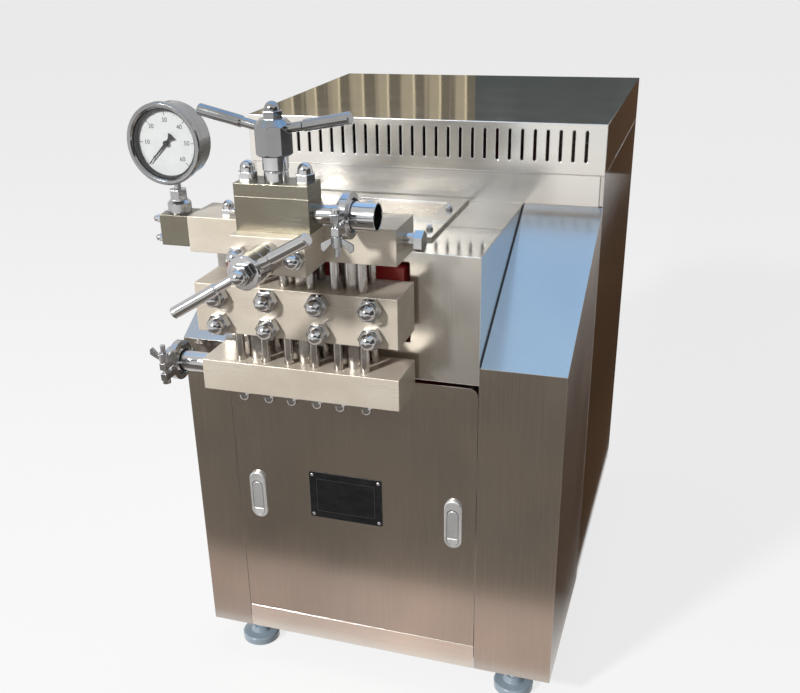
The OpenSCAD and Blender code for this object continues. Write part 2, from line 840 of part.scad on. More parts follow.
module drive_pulley() {
  rim_r = drive_pulley_d / 2 - groove_depth - 12;
  hub_r = drive_shaft_d / 2 + 22;
  color("#5d6166") place() to_right(pulley_x, drive_y, drive_z) difference() {
    pulley(drive_pulley_d, drive_shaft_d);
    for (a = [0:60:300]) rotate([0, 0, a]) translate([(rim_r + hub_r) / 2, 0, 0])
      cylinder(d = rim_r - hub_r - 8, h = pulley_w + 2 * over, center = true);
  }
}

module motor_pulley() {
  color("#5d6166") place() to_right(pulley_x, motor_y, motor_z) pulley(motor_pulley_d, motor_shaft_d);
}

module drive_shaft() {
  x0 = case_x1 - drive_bore_in + over;
  color("#9a9c9f") place() to_right(x0, drive_y, drive_z) cylinder(d = drive_shaft_d, h = shaft_end - x0);
}

module motor_shaft() {
  x0 = motor_x - motor_bore_l + over;
  color("#9a9c9f") place() to_right(x0, motor_y, motor_z) cylinder(d = motor_shaft_d, h = shaft_end - x0);
}

// Loop round both pulleys, set off from their running radius
module belt_outline(off) {
  hull() {
    translate([drive_y, drive_z]) circle(d = drive_pulley_d + 2 * off);
    translate([motor_y, motor_z]) circle(d = motor_pulley_d + 2 * off);
  }
}

module v_belts() {
  color("#26262a") place() for (i = [0:belt_n - 1]) {
    x = pulley_x + belt_at(i);
    side_profile(x - belt_w / 2, x + belt_w / 2) difference() {
      belt_outline(1);
      belt_outline(1 - belt_t);
    }
  }
}

// Holes through a block for the tie studs
module stud_holes(z0, z1) {
  for (p = tie_spots) translate([p[0], p[1], z0])
    cylinder(d = stud_d + 2 * hole_c, h = z1 - z0);
}

module suction_block() {
  color(machined) place() difference() {
    block(blk_x0, blk_x1, blk_front, blk_back, suct_low, suct_top);
    stud_holes(suct_low - over, suct_top + over);
    to_left(cyls[2] + passage_d / 2, blk_y, suct_z)
      cylinder(d = passage_d, h = cyls[2] + passage_d / 2 - blk_x0 + over);
    for (x = cyls) translate([x, blk_y, suct_z]) cylinder(d = passage_d, h = suction_h);
  }
}

module pump_block() {
  color(machined) place() difference() {
    block(blk_x0, blk_x1, blk_front, blk_back, pump_low, pump_top);
    stud_holes(pump_low - over, pump_low + stud_in);
    stud_holes(pump_top - stud_in, pump_top + over);
    for (x = cyls) {
      translate([x, blk_y, pump_low - over]) cylinder(d = passage_d, h = pump_h + 2 * over);
      to_front(x, blk_back + over, plunger_z) cylinder(d = chamber_d, h = block_d - chamber_end + over);
      to_front(x, blk_back + over, plunger_z) cylinder(d = gland_d + 2 * run_c, h = gland_l + over);
    }
  }
}

module discharge_block() {
  color(machined) place() difference() {
    block(blk_x0, blk_x1, blk_front, blk_back, disch_low, disch_top);
    stud_holes(disch_low - over, disch_top + over);
    to_right(blk_x0 - over, blk_y, disch_z) cylinder(d = passage_d, h = block_l + 2 * over);
    for (x = cyls) translate([x, blk_y, disch_low - over])
      cylinder(d = passage_d, h = discharge_h / 2 + over);
    to_front(pump_x, blk_y, disch_z) cylinder(d = passage_d, h = block_d);
  }
}

// Sleeves that carry the valves between the blocks
module valve_sleeves() {
  color(machined) place() for (x = cyls, z = [suct_top, pump_top]) translate([x, blk_y, z]) difference() {
    cylinder(d = sleeve_d, h = sleeve_l);
    translate([0, 0, -over]) cylinder(d = passage_d, h = sleeve_l + 2 * over);
  }
}

module tie_studs() {
  color(chrome) place() for (p = tie_spots) {
    translate([p[0], p[1], suct_low]) cylinder(d = stud_d, h = pump_low + stud_in - suct_low);
    translate([p[0], p[1], pump_top - stud_in]) cylinder(d = stud_d, h = disch_top - pump_top + stud_in);
  }
}

module tie_nuts() {
  color(chrome) place() for (p = tie_spots) {
    translate([p[0], p[1], disch_top]) acorn(tie_af, tie_nut_h);
    translate([p[0], p[1], suct_low]) mirror([0, 0, 1]) acorn(tie_af, tie_nut_h);
  }
}

module face_nuts() {
  color(chrome) place() for (p = face_spots) to_front(p[0], blk_front, p[1]) acorn(face_af, face_nut_h);
}

// Rings in the back of the pump block that guide the plungers
module plunger_glands() {
  color("#b59a5a") place() for (x = cyls) to_front(x, blk_back, plunger_z) difference() {
    cylinder(d = gland_d, h = gland_l);
    translate([0, 0, -over]) cylinder(d = plunger_d + 2 * run_c, h = gland_l + 2 * over);
  }
}

// Plunger with its crosshead, at the front end of its stroke
module plunger(i) {
  tip = blk_front + chamber_end + 4;
  head = case_front + 24;
  color("#d2d4d6") place() {
    to_front(cyls[i], head + eps, plunger_z) cylinder(d = plunger_d, h = head - tip + eps);
    to_front(cyls[i], head + crosshead_l, plunger_z) cylinder(d = crosshead_d, h = crosshead_l);
  }
}

// Block of the first stage from z0 to z1
module stage1_block(z0, z1) {
  block(pump_x - stage_w / 2, pump_x + stage_w / 2, st1_y - stage1_d / 2, st1_y + stage1_d / 2, z0, z1);
}

module stage2_body() {
  color(machined) place() difference() {
    block(pump_x - stage_w / 2, pump_x + stage_w / 2, st2_front, blk_front, disch_low, disch_top);
    to_front(pump_x, blk_front + over, disch_z) cylinder(d = passage_d, h = seat2_in + over);
    to_front(pump_x, blk_front - seat2_in + eps, disch_z) cylinder(d = rod_d + 2 * run_c, h = stage2_d);
    translate([pump_x, st1_y, disch_z]) cylinder(d = link_d, h = discharge_h);
  }
}

module stage1_body() {
  color(olive) place() difference() {
    stage1_block(disch_top, st1_top);
    translate([pump_x, st1_y, disch_top - over]) cylinder(d = link_d, h = seat1_in + over + eps);
    translate([pump_x, st1_y, disch_top + seat1_in]) cylinder(d = rod_d + 2 * run_c, h = stage1_h);
    to_right(pump_x, st1_y, outlet_z) cylinder(d = link_d, h = stage_w);
  }
}

module stage1_cap() {
  color(olive) place() difference() {
    stage1_block(st1_top, cap_top);
    translate([pump_x, st1_y, st1_top - over]) cylinder(d = rod_d + 2 * run_c, h = cap_t + 2 * over);
  }
}

// Guide for a push rod and a handwheel stem, with its axis along +Z
module bonnet(d, l) {
  neck = l * 0.42;
  difference() {
    rotate_extrude() polygon([
      [0, 0], [d / 2 - 1, 0], [d / 2 - 1, neck - 1], [d / 2 - 2, neck], [d / 2, neck + 2], [d / 2, l], [0, l]
    ]);
    translate([0, 0, -over]) cylinder(d = rod_d + 2 * run_c, h = l + 2 * over);
    translate([0, 0, l - stem_l - move_c]) cylinder(d = stem_d + 2 * run_c, h = stem_l + move_c + over);
  }
}

module stage1_bonnet() {
  color(machined) place() translate([pump_x, st1_y, cap_top]) bonnet(bonnet1_d, bonnet1_l);
}

module stage2_bonnet() {
  color(machined) place() to_front(pump_x, st2_front, disch_z) bonnet(bonnet2_d, bonnet2_l);
}

module stage_nuts() {
  color(chrome) place() for (s = [-1, 1]) {
    translate([pump_x + s * stage_nut_off, st1_y, cap_top]) acorn(stage_af, stage_nut_h);
    to_front(pump_x + s * stage_nut_off, st2_front, disch_z) acorn(stage_af, stage_nut_h);
  }
}

// Round bar with a thinner root, along +X from the axis
module bar() {
  root_l = bar_l * 0.4;
  rotate([0, 90, 0]) rotate_extrude() polygon([
    [0, 0], [bar_d * 0.4, 0], [bar_d * 0.4, root_l], [bar_d / 2, root_l + 3], [bar_d / 2, bar_l - 1.5],
    [bar_d / 2 - 1.5, bar_l], [0, bar_l]
  ]);
}

// Two bars on opposite sides of a hub, tilted away from its base
module bars(tilt, turn) {
  for (s = [0, 180]) rotate([0, 0, turn + s]) rotate([0, -tilt, 0]) bar();
}

// Eight-sided hub with two bars, an acorn nut and a stem into the bonnet
module stage1_handwheel() {
  color(chrome) place() translate([pump_x, st1_y, hub1_z + move_c]) {
    intersection() {
      cylinder(d = hub1_d, h = hub1_h, $fn = 8);
      rotate_extrude() polygon([
        [0, 0], [hub1_d / 2 - hub_chamfer, 0], [hub1_d / 2, hub_chamfer], [hub1_d / 2, hub1_h - hub_dome],
        [hub1_d / 2 - hub_dome, hub1_h], [0, hub1_h]
      ]);
    }
    translate([0, 0, -stem_l]) cylinder(d = stem_d, h = stem_l + over);
    translate([0, 0, hub1_h * 0.66]) bars(bar1_tilt, bar1_turn);
    translate([0, 0, hub1_h - eps]) acorn(stage_af, stage_nut_h - 4);
  }
}

// Round hub with two bars, an acorn nut and a stem into the bonnet
module stage2_handwheel() {
  color(chrome) place() to_front(pump_x, hub2_y - move_c, disch_z) {
    rotate_extrude() polygon([
      [0, 0], [hub2_d / 2 - hub_chamfer, 0], [hub2_d / 2, hub_chamfer], [hub2_d / 2, hub2_h - hub_chamfer],
      [hub2_d / 2 - 2, hub2_h - move_c], [0, hub2_h - move_c]
    ]);
    translate([0, 0, -stem_l]) cylinder(d = stem_d, h = stem_l + over);
    translate([0, 0, hub2_h * 0.55]) bars(bar2_tilt, bar2_turn);
    translate([0, 0, hub2_h - move_c - eps]) acorn(stage_af, stage_nut_h + eps);
  }
}

// Push rods between the handwheel stems and the valve seats
module stage1_rod() {
  z0 = disch_top + seat1_in + rod_gap;
  z1 = hub1_z - stem_l - rod_gap;
  color("#d2d4d6") place() translate([pump_x, st1_y, z0]) cylinder(d = rod_d, h = z1 - z0);
}

module stage2_rod() {
  y0 = blk_front - seat2_in - rod_gap;
  y1 = hub2_y + stem_l + rod_gap;
  color("#d2d4d6") place() to_front(pump_x, y0, disch_z) cylinder(d = rod_d, h = y0 - y1);
}

module gauge_block() {
  color(olive) place() difference() {
    block(blk_x0 - gauge_block_w, blk_x0, blk_front, blk_front + gauge_block_w,
      disch_top - gauge_block_w, disch_top);
    translate([gauge_x, gauge_y, disch_z]) cylinder(d = gauge_stem_d, h = gauge_block_w);
  }
}

// Four small domed bolts on the outer face of the gauge block
module gauge_bolts() {
  color(chrome) place() for (dy = [-1, 1], dz = [-1, 1])
    to_left(blk_x0 - gauge_block_w, gauge_y + dy * (gauge_block_w / 2 - gauge_bolt_in),
      disch_top - gauge_block_w / 2 + dz * (gauge_block_w / 2 - gauge_bolt_in))
      acorn(gauge_bolt_af, gauge_bolt_h);
}

// Stem with a lower and an upper nut, between the block and the gauge
module gauge_stem() {
  top = gauge_rise - gauge_d / 2 + 6;
  color(chrome) place() translate([gauge_x, gauge_y, disch_top]) {
    rotate_extrude() polygon([
      [0, 0], [lower_nut_r, 0], [lower_nut_r, lower_nut_h - 4], [lower_nut_r - 4, lower_nut_h],
      [0, lower_nut_h]
    ]);
    translate([0, 0, lower_nut_h - eps]) hex(upper_nut_af, upper_nut_h);
    cylinder(d = gauge_stem_d, h = top);
  }
}

// Cup-shaped case with a bezel, a dial floor and a bore for the needle
module gauge_case() {
  r = gauge_d / 2;
  color(chrome) place() difference() {
    to_front(gauge_x, gauge_back, gauge_z) rotate_extrude() polygon([
      [0, 0], [r - 9, 0], [r - 4, 4], [r - 4, gauge_depth - 12], [r, gauge_depth - 10], [r, gauge_depth - 2],
      [r - 2, gauge_depth], [glass_r + 2, gauge_depth], [glass_r, gauge_depth - glass_inset + move_c],
      [glass_r, gauge_back - dial_y], [0, gauge_back - dial_y]
    ]);
    translate([gauge_x, gauge_y, gauge_z - r - over])
      cylinder(d = gauge_stem_d + 2 * run_c, h = 7 + over);
    to_front(gauge_x, dial_y + 5, gauge_z) cylinder(d = needle_pin_d + 2 * run_c, h = 5 + over);
  }
}

module gauge_glass() {
  color("#dfeaf0", 0.4) place() to_front(gauge_x, gauge_front + glass_inset + glass_t, gauge_z)
    cylinder(r = glass_r - run_c, h = glass_t);
}

// Needle with its hub and pin, pointing at the start of the scale
module gauge_needle() {
  tail = needle_l * 0.35;
  color("#101010") place() to_front(gauge_x, dial_y, gauge_z) {
    translate([0, 0, -4]) cylinder(d = needle_pin_d, h = 6);
    translate([0, 0, 2 - eps]) cylinder(d = 7, h = 3.5);
    translate([0, 0, 3]) rotate([0, 0, 180 + needle_turn]) linear_extrude(1) polygon([
      [needle_l, -0.4], [needle_l, 0.4], [0, 1.6], [-tail * 0.5, 1.6], [-tail, needle_tail_w / 2],
      [-tail, -needle_tail_w / 2], [-tail * 0.5, -1.6], [0, -1.6]
    ]);
  }
}

// Pipe along +Z that ends in a ferrule
module ferrule_pipe(d, l) {
  difference() {
    rotate_extrude() polygon([
      [0, 0], [d / 2, 0], [d / 2, l - ferrule_t - 3], [d / 2 + 3, l - ferrule_t],
      [ferrule_d / 2, l - ferrule_t + 1], [ferrule_d / 2, l], [0, l]
    ]);
    translate([0, 0, -over]) cylinder(d = d - 2 * pipe_wall, h = l + 2 * over);
  }
}

// Open stub on the far side of a clamp
module stub(l) {
  mirror([0, 0, 1]) translate([0, 0, -l]) ferrule_pipe(stub_d, l);
}

module inlet_pipe() {
  color(chrome) place() to_left(blk_x0, blk_y, suct_z) {
    ferrule_pipe(inlet_d, inlet_l);
    translate([0, 0, inlet_l + move_c]) stub(inlet_stub_l);
  }
}

module outlet_pipe() {
  color(chrome) place() to_right(outlet_x0, st1_y, outlet_z) {
    ferrule_pipe(outlet_d, outlet_l);
    translate([0, 0, outlet_l + move_c]) stub(outlet_stub_l);
  }
}

// Split ring over a pair of ferrules, with ears, a screw and a hinge knuckle
module clamp() {
  lip_r = ferrule_d / 2 - 2;
  groove_r = ferrule_d / 2 + hole_c;
  half = ferrule_pair / 2 + hole_c;
  ear_y = -bolt_r - ear_w / 2 - 2;
  difference() {
    union() {
      rotate_extrude() polygon([
        [lip_r, -clamp_w / 2], [clamp_d / 2, -clamp_w / 2 + 2], [clamp_d / 2, clamp_w / 2 - 2],
        [lip_r, clamp_w / 2], [lip_r, half + 2], [groove_r, half], [groove_r, -half], [lip_r, -half - 2]
      ]);
      for (s = [0, 1]) mirror([s, 0, 0])
        block(split_w / 2, split_w / 2 + ear_t, ear_y, -groove_r - 2, -ear_w / 2, ear_w / 2);
    }
    translate([-split_w / 2, -bolt_r - ear_w, -clamp_w]) cube([split_w, bolt_r, 2 * clamp_w]);
    translate([-ear_t - split_w, -bolt_r, 0]) rotate([0, 90, 0])
      cylinder(d = bolt_d + 2 * hole_c, h = 2 * (ear_t + split_w));
  }
  translate([0, clamp_d / 2 + 3, 0]) cylinder(d = 10, h = clamp_w - 2, center = true);
  translate([-split_w / 2 - ear_t - 6, -bolt_r, 0]) rotate([0, 90, 0]) {
    cylinder(d = bolt_d, h = 2 * ear_t + split_w + 6 + wing_h + wing_hub_h + 6);
    cylinder(d = bolt_d + 5, h = 6);
  }
}

// Wing nut on a clamp's screw
module wing_nut() {
  translate([wing_z0, -bolt_r, 0]) rotate([0, 90, 0]) difference() {
    union() {
      cylinder(d = wing_hub_d, h = wing_hub_h + wing_h * 0.5);
      for (s = [0, 1]) mirror([s, 0, 0]) rotate([90, 0, 0]) translate([0, 0, -2]) linear_extrude(4) polygon([
        [bolt_d / 2 + 1, 2], [wing_span / 2 - 5, wing_hub_h], [wing_span / 2, wing_hub_h + 3],
        [wing_span / 2, wing_hub_h + wing_h - 3], [wing_span / 2 - 4, wing_hub_h + wing_h],
        [bolt_d / 2 + 4, wing_hub_h + 3], [bolt_d / 2 + 1, wing_hub_h + 3]
      ]);
    }
    translate([0, 0, -over]) cylinder(d = bolt_d + 2 * run_c, h = wing_h + wing_hub_h + 2 * over);
  }
}

module inlet_clamp() {
  color(chrome) place() to_left(inlet_x, blk_y, suct_z) clamp();
}

module inlet_wing_nut() {
  color(chrome) place() to_left(inlet_x, blk_y, suct_z) wing_nut();
}

module outlet_clamp() {
  color(chrome) place() to_right(outlet_x, st1_y, outlet_z) clamp();
}

module outlet_wing_nut() {
  color(chrome) place() to_right(outlet_x, st1_y, outlet_z) wing_nut();
}

// Plug that closes the right end of the discharge block
module end_plug() {
  color(chrome) place() to_right(blk_x1, blk_y, disch_z) {
    rotate_extrude() polygon([[0, 0], [11.5, 0], [11.5, 15], [0, 15]]);
    translate([0, 0, 15 - eps]) hex(27, 12);
  }
}

module latch_handle_left() { latch_handle(latch_x[0]); }
module latch_handle_right() { latch_handle(latch_x[1]); }
module latch_button_left() { latch_button(latch_x[0]); }
module latch_button_right() { latch_button(latch_x[1]); }
module plunger_1() { plunger(0); }
module plunger_2() { plunger(1); }
module plunger_3() { plunger(2); }

base_frame();
feet();
left_column();
right_column();
skirt();
crankcase_cover();
inspection_lid();
lid_bolts();
rear_band();
vent_hood();
side_panels();
back_panel();
crankcase();
motor();
v_belts();
suction_block();
pump_block();
discharge_block();
valve_sleeves();
tie_studs();
tie_nuts();
face_nuts();
plunger_glands();
stage1_body();
stage1_cap();
stage1_bonnet();
stage2_body();
stage2_bonnet();
stage_nuts();
gauge_block();
gauge_bolts();
gauge_stem();
gauge_case();
gauge_glass();
inlet_pipe();
inlet_clamp();
outlet_pipe();
outlet_clamp();
end_plug();
front_panel();
latch_bezels();
latch_handle_left();
latch_handle_right();
latch_button_left();
latch_button_right();
drive_shaft();
drive_pulley();
motor_shaft();
motor_pulley();
plunger_1();
plunger_2();
plunger_3();
stage1_handwheel();
stage1_rod();
stage2_handwheel();
stage2_rod();
gauge_needle();
inlet_wing_nut();
outlet_wing_nut();
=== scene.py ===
"""Finishes, small trim and studio for a three-plunger dairy homogenizer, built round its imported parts."""

import math

import bmesh
import bpy
from bpy.props import FloatProperty, FloatVectorProperty, IntProperty, PointerProperty
from bpy.types import Operator, Panel, PropertyGroup
from mathutils import Matrix, Vector


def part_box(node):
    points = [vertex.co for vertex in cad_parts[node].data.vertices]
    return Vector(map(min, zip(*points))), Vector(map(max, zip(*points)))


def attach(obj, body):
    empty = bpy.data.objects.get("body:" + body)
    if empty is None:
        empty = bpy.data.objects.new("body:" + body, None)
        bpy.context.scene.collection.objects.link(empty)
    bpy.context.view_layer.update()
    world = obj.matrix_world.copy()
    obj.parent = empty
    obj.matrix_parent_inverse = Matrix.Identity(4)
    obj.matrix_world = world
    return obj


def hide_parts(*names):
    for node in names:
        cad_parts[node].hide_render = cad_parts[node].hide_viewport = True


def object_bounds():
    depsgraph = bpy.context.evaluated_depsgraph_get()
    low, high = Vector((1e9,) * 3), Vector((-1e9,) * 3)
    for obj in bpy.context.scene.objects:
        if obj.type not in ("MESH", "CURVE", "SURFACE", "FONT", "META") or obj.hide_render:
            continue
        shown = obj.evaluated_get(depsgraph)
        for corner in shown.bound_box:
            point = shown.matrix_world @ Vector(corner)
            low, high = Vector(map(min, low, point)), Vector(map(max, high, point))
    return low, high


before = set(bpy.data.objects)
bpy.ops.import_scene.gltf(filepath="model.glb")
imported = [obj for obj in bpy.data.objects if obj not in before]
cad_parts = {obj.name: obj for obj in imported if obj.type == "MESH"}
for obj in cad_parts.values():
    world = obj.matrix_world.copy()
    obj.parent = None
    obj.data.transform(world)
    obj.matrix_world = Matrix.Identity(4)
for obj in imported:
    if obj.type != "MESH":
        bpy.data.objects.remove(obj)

CAD_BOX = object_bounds()

bl_info = {
    "name": "Dairy homogenizer",
    "version": (1, 0, 0),
    "blender": (4, 5, 0),
    "location": "3D View > Sidebar > Homogenizer",
    "description": "Finishes, small trim and studio for a three-plunger dairy homogenizer",
    "category": "Add Mesh",
}

# Nodes that share a finish
SATIN_SHEETS = ("left_column", "right_column", "front_panel")
BLOCKS = ("suction_block", "pump_block", "discharge_block", "stage2_body")
STAGE_BLOCKS = ("stage1_body", "stage1_cap", "gauge_block")
NUTS = ("tie_nuts", "face_nuts", "stage_nuts", "lid_bolts", "gauge_bolts", "end_plug")
TURNED_FITTINGS = (
    "stage2_handwheel", "stage1_bonnet", "stage2_bonnet",
    "inlet_pipe", "outlet_pipe",
)
CAST_FITTINGS = ("inlet_clamp", "outlet_clamp", "inlet_wing_nut", "outlet_wing_nut", "gauge_stem")
COLUMNS = ("valve_sleeves", "tie_studs")
SHAFTS = ("drive_shaft", "motor_shaft", "plunger_1", "plunger_2", "plunger_3", "stage1_rod", "stage2_rod")
PULLEYS = ("drive_pulley", "motor_pulley")

# Stretch of the brush lines on sheets with an upright and with a level grain
UPRIGHT_GRAIN = (700.0, 700.0, 9.0)
LEVEL_GRAIN = (9.0, 700.0, 700.0)

# Shader sockets that a finish sets to one value all over
SOCKETS = {
    "roughness": "Roughness", "alpha": "Alpha", "coat_weight": "Coat Weight",
    "specular_ior_level": "Specular IOR Level",
}


def colour_of(name, text, value):
    """A colour property with its own default."""
    return FloatVectorProperty(
        name=name, description=text, subtype="COLOR", size=3, min=0.0, max=1.0, default=value
    )


def length_of(name, text, value):
    """A length property in metres."""
    return FloatProperty(name=name, description=text, unit="LENGTH", precision=4, default=value)


def place_of(name, text, value):
    """A place property in metres."""
    return FloatVectorProperty(
        name=name, description=text, subtype="TRANSLATION", unit="LENGTH", default=value
    )


def power_of(name, text, value):
    """A lamp's power in watts."""
    return FloatProperty(name=name, description=text, unit="POWER", default=value)


class StudioSettings(PropertyGroup):
    """Camera, floor and light."""

    camera_place: place_of("Camera place", "Where the camera stands", (0.4772, -1.5987, 1.2096))
    camera_turn: FloatVectorProperty(
        name="Camera turn", description="How the camera is turned", subtype="EULER",
        default=(math.radians(64.76), math.radians(1.713), math.radians(18.98)),
    )
    camera_lens: FloatProperty(
        name="Lens", description="Focal length of the camera in millimetres", default=45.1
    )
    camera_shift: FloatVectorProperty(
        name="Shift", description="Shift of the lens, across and up", size=2, default=(0.0428, 0.0631)
    )
    floor_reach: length_of("Floor reach", "Radius of the floor", 40.0)
    floor_colour: colour_of("Floor", "Colour of the floor", (0.9, 0.9, 0.9))
    floor_glow: FloatProperty(
        name="Floor glow", description="Share of the floor that shows its colour unlit", subtype="FACTOR",
        min=0.0, max=1.0, default=0.78,
    )
    glow_colour: colour_of("Floor shown", "Colour that the floor shows unlit", (1.0, 1.0, 1.0))
    bounce_colour: colour_of(
        "Floor bounce", "Colour that the floor throws back on the machine", (0.3, 0.29, 0.28)
    )
    backdrop_colour: colour_of("Backdrop", "Colour of the backdrop", (0.86, 0.86, 0.865))
    ambient: FloatProperty(name="Ambient", description="Level of the soft light all round", default=0.12)
    key_place: place_of("Key place", "Where the key lamp stands", (-2.5, -4.9, 3.65))
    key_size: length_of("Key size", "Diameter of the key lamp", 0.7)
    key_power: power_of("Key", "Power of the key lamp", 365.0)
    fill_place: place_of("Fill place", "Where the fill lamp stands", (2.4, -2.0, 1.7))
    fill_size: length_of("Fill size", "Diameter of the fill lamp", 1.6)
    fill_power: power_of("Fill", "Power of the fill lamp", 2.0)
    top_place: place_of("Top place", "Where the top lamp hangs", (-0.4, 0.3, 3.0))
    top_size: length_of("Top size", "Diameter of the top lamp", 1.8)
    top_power: power_of("Top", "Power of the top lamp", 9.0)
    flag_colour: colour_of("Flag", "Colour of the dark reflecting cards", (0.22, 0.2, 0.175))
    side_flag_colour: colour_of("Side flag", "Colour of the card beside the cabinet", (0.06, 0.035, 0.02))
    near_colour: colour_of("Near card", "Colour of the card at the cabinet's foot", (0.68, 0.57, 0.52))
    wall_colour: colour_of("Wall card", "Colour of the dark upright cards", (0.085, 0.085, 0.085))
    back_colour: colour_of("Back card", "Colour of the folded cloth behind", (0.27, 0.23, 0.155))
    slate_colour: colour_of("Slate card", "Colour of the dark card behind", (0.055, 0.066, 0.066))
    sky_colour: colour_of("Sky card", "Colour of the pale blue card above", (0.34, 0.57, 1.0))


class FinishSettings(PropertyGroup):
    """Colours of the finishes."""

    sheet: colour_of("Satin sheet", "Front sheets of the cabinet", (0.52, 0.48, 0.44))
    bright: colour_of("Bright sheet", "Cover, band and hood sheets", (0.69, 0.685, 0.66))
    mirror: colour_of("Mirror sheet", "Polished side sheets", (0.56, 0.53, 0.5))
    machined: colour_of("Machined steel", "Blocks of the pump head", (0.75, 0.68, 0.575))
    stage: colour_of("Ground steel", "Blocks of the first pressure stage", (0.22, 0.205, 0.16))
    polished: colour_of("Polished steel", "Nuts, pipes and handwheels", (0.56, 0.56, 0.565))
    latch: colour_of("Latch metal", "Latches of the front panel", (0.78, 0.8, 0.81))
    foot: colour_of("Foot paint", "Levelling feet", (0.32, 0.4, 0.47))
    red: colour_of("Casting paint", "Crankcase", (0.42, 0.016, 0.014))
    motor: colour_of("Motor paint", "Motor housing", (0.09, 0.13, 0.17))
    frame_paint: colour_of("Frame paint", "Base frame", (0.2, 0.205, 0.215))
    cast_iron: colour_of("Cast iron", "Pulleys", (0.16, 0.165, 0.17))
    rubber: colour_of("Rubber", "Belts", (0.014, 0.014, 0.015))
    bronze: colour_of("Bronze", "Plunger glands", (0.58, 0.4, 0.18))
    black: colour_of("Black", "Needle, dial print and name plate", (0.011, 0.011, 0.012))
    dial: colour_of("Dial", "Face of the gauge", (0.86, 0.88, 0.87))


class TrimSettings(PropertyGroup):
    """Sizes of the small trim."""

    plate_w: length_of("Plate width", "Width of the bare name plate", 0.126)
    plate_h: length_of("Plate height", "Height of the bare name plate", 0.086)
    plate_t: length_of("Plate thickness", "Thickness of the name plate", 0.0012)
    plate_corner: length_of("Plate corner", "Corner radius of the name plate", 0.003)
    plate_left: length_of("Plate offset", "Plate centre left of the panel's centre", 0.013)
    plate_rise: length_of("Plate rise", "Plate centre above the panel's centre", 0.0145)
    rivet_d: length_of("Rivet", "Diameter of a rivet head", 0.0062)
    rivet_inset: length_of("Rivet inset", "Rivet centre to the plate's edges", 0.0058)
    latch_w: length_of("Latch width", "Width of a latch's oval frame", 0.0286)
    latch_l: length_of("Latch length", "Length of a latch's oval frame", 0.087)
    handle_w: length_of("Handle width", "Width of the flip handle and of the push button", 0.0175)
    handle_high: length_of("Handle top", "Top of the flip handle above the latch's centre", 0.0258)
    button_high: length_of("Button top", "Top of the push button above the latch's centre", -0.0247)
    button_low: length_of("Button foot", "Foot of the push button above the latch's centre", -0.0378)
    dial_steps: IntProperty(name="Dial steps", description="Numbered steps of the dial", default=6)
    dial_step_value: IntProperty(name="Step value", description="Value of one numbered step", default=10)
    dial_parts: IntProperty(name="Step parts", description="Fine parts in a numbered step", default=10)
    dial_sweep: FloatProperty(
        name="Dial sweep", description="Angle of the whole scale", subtype="ANGLE",
        default=math.radians(270.0),
    )
    digit_h: length_of("Digit height", "Height of the dial's numbers", 0.0062)
    screw_d: length_of("Screw", "Diameter of the small lid screws", 0.006)
    thread_pitch: length_of("Thread pitch", "Pitch of the foot stems' thread", 0.002)


def add_node(tree, kind, inputs, **settings):
    """A node with its settings made and its inputs set or linked."""
    node = tree.nodes.new("ShaderNode" + kind)
    for key, value in settings.items():
        setattr(node, key, value)
    for key, value in inputs.items():
        if isinstance(value, bpy.types.NodeSocket):
            tree.links.new(value, node.inputs[key])
        else:
            node.inputs[key].default_value = value
    return node


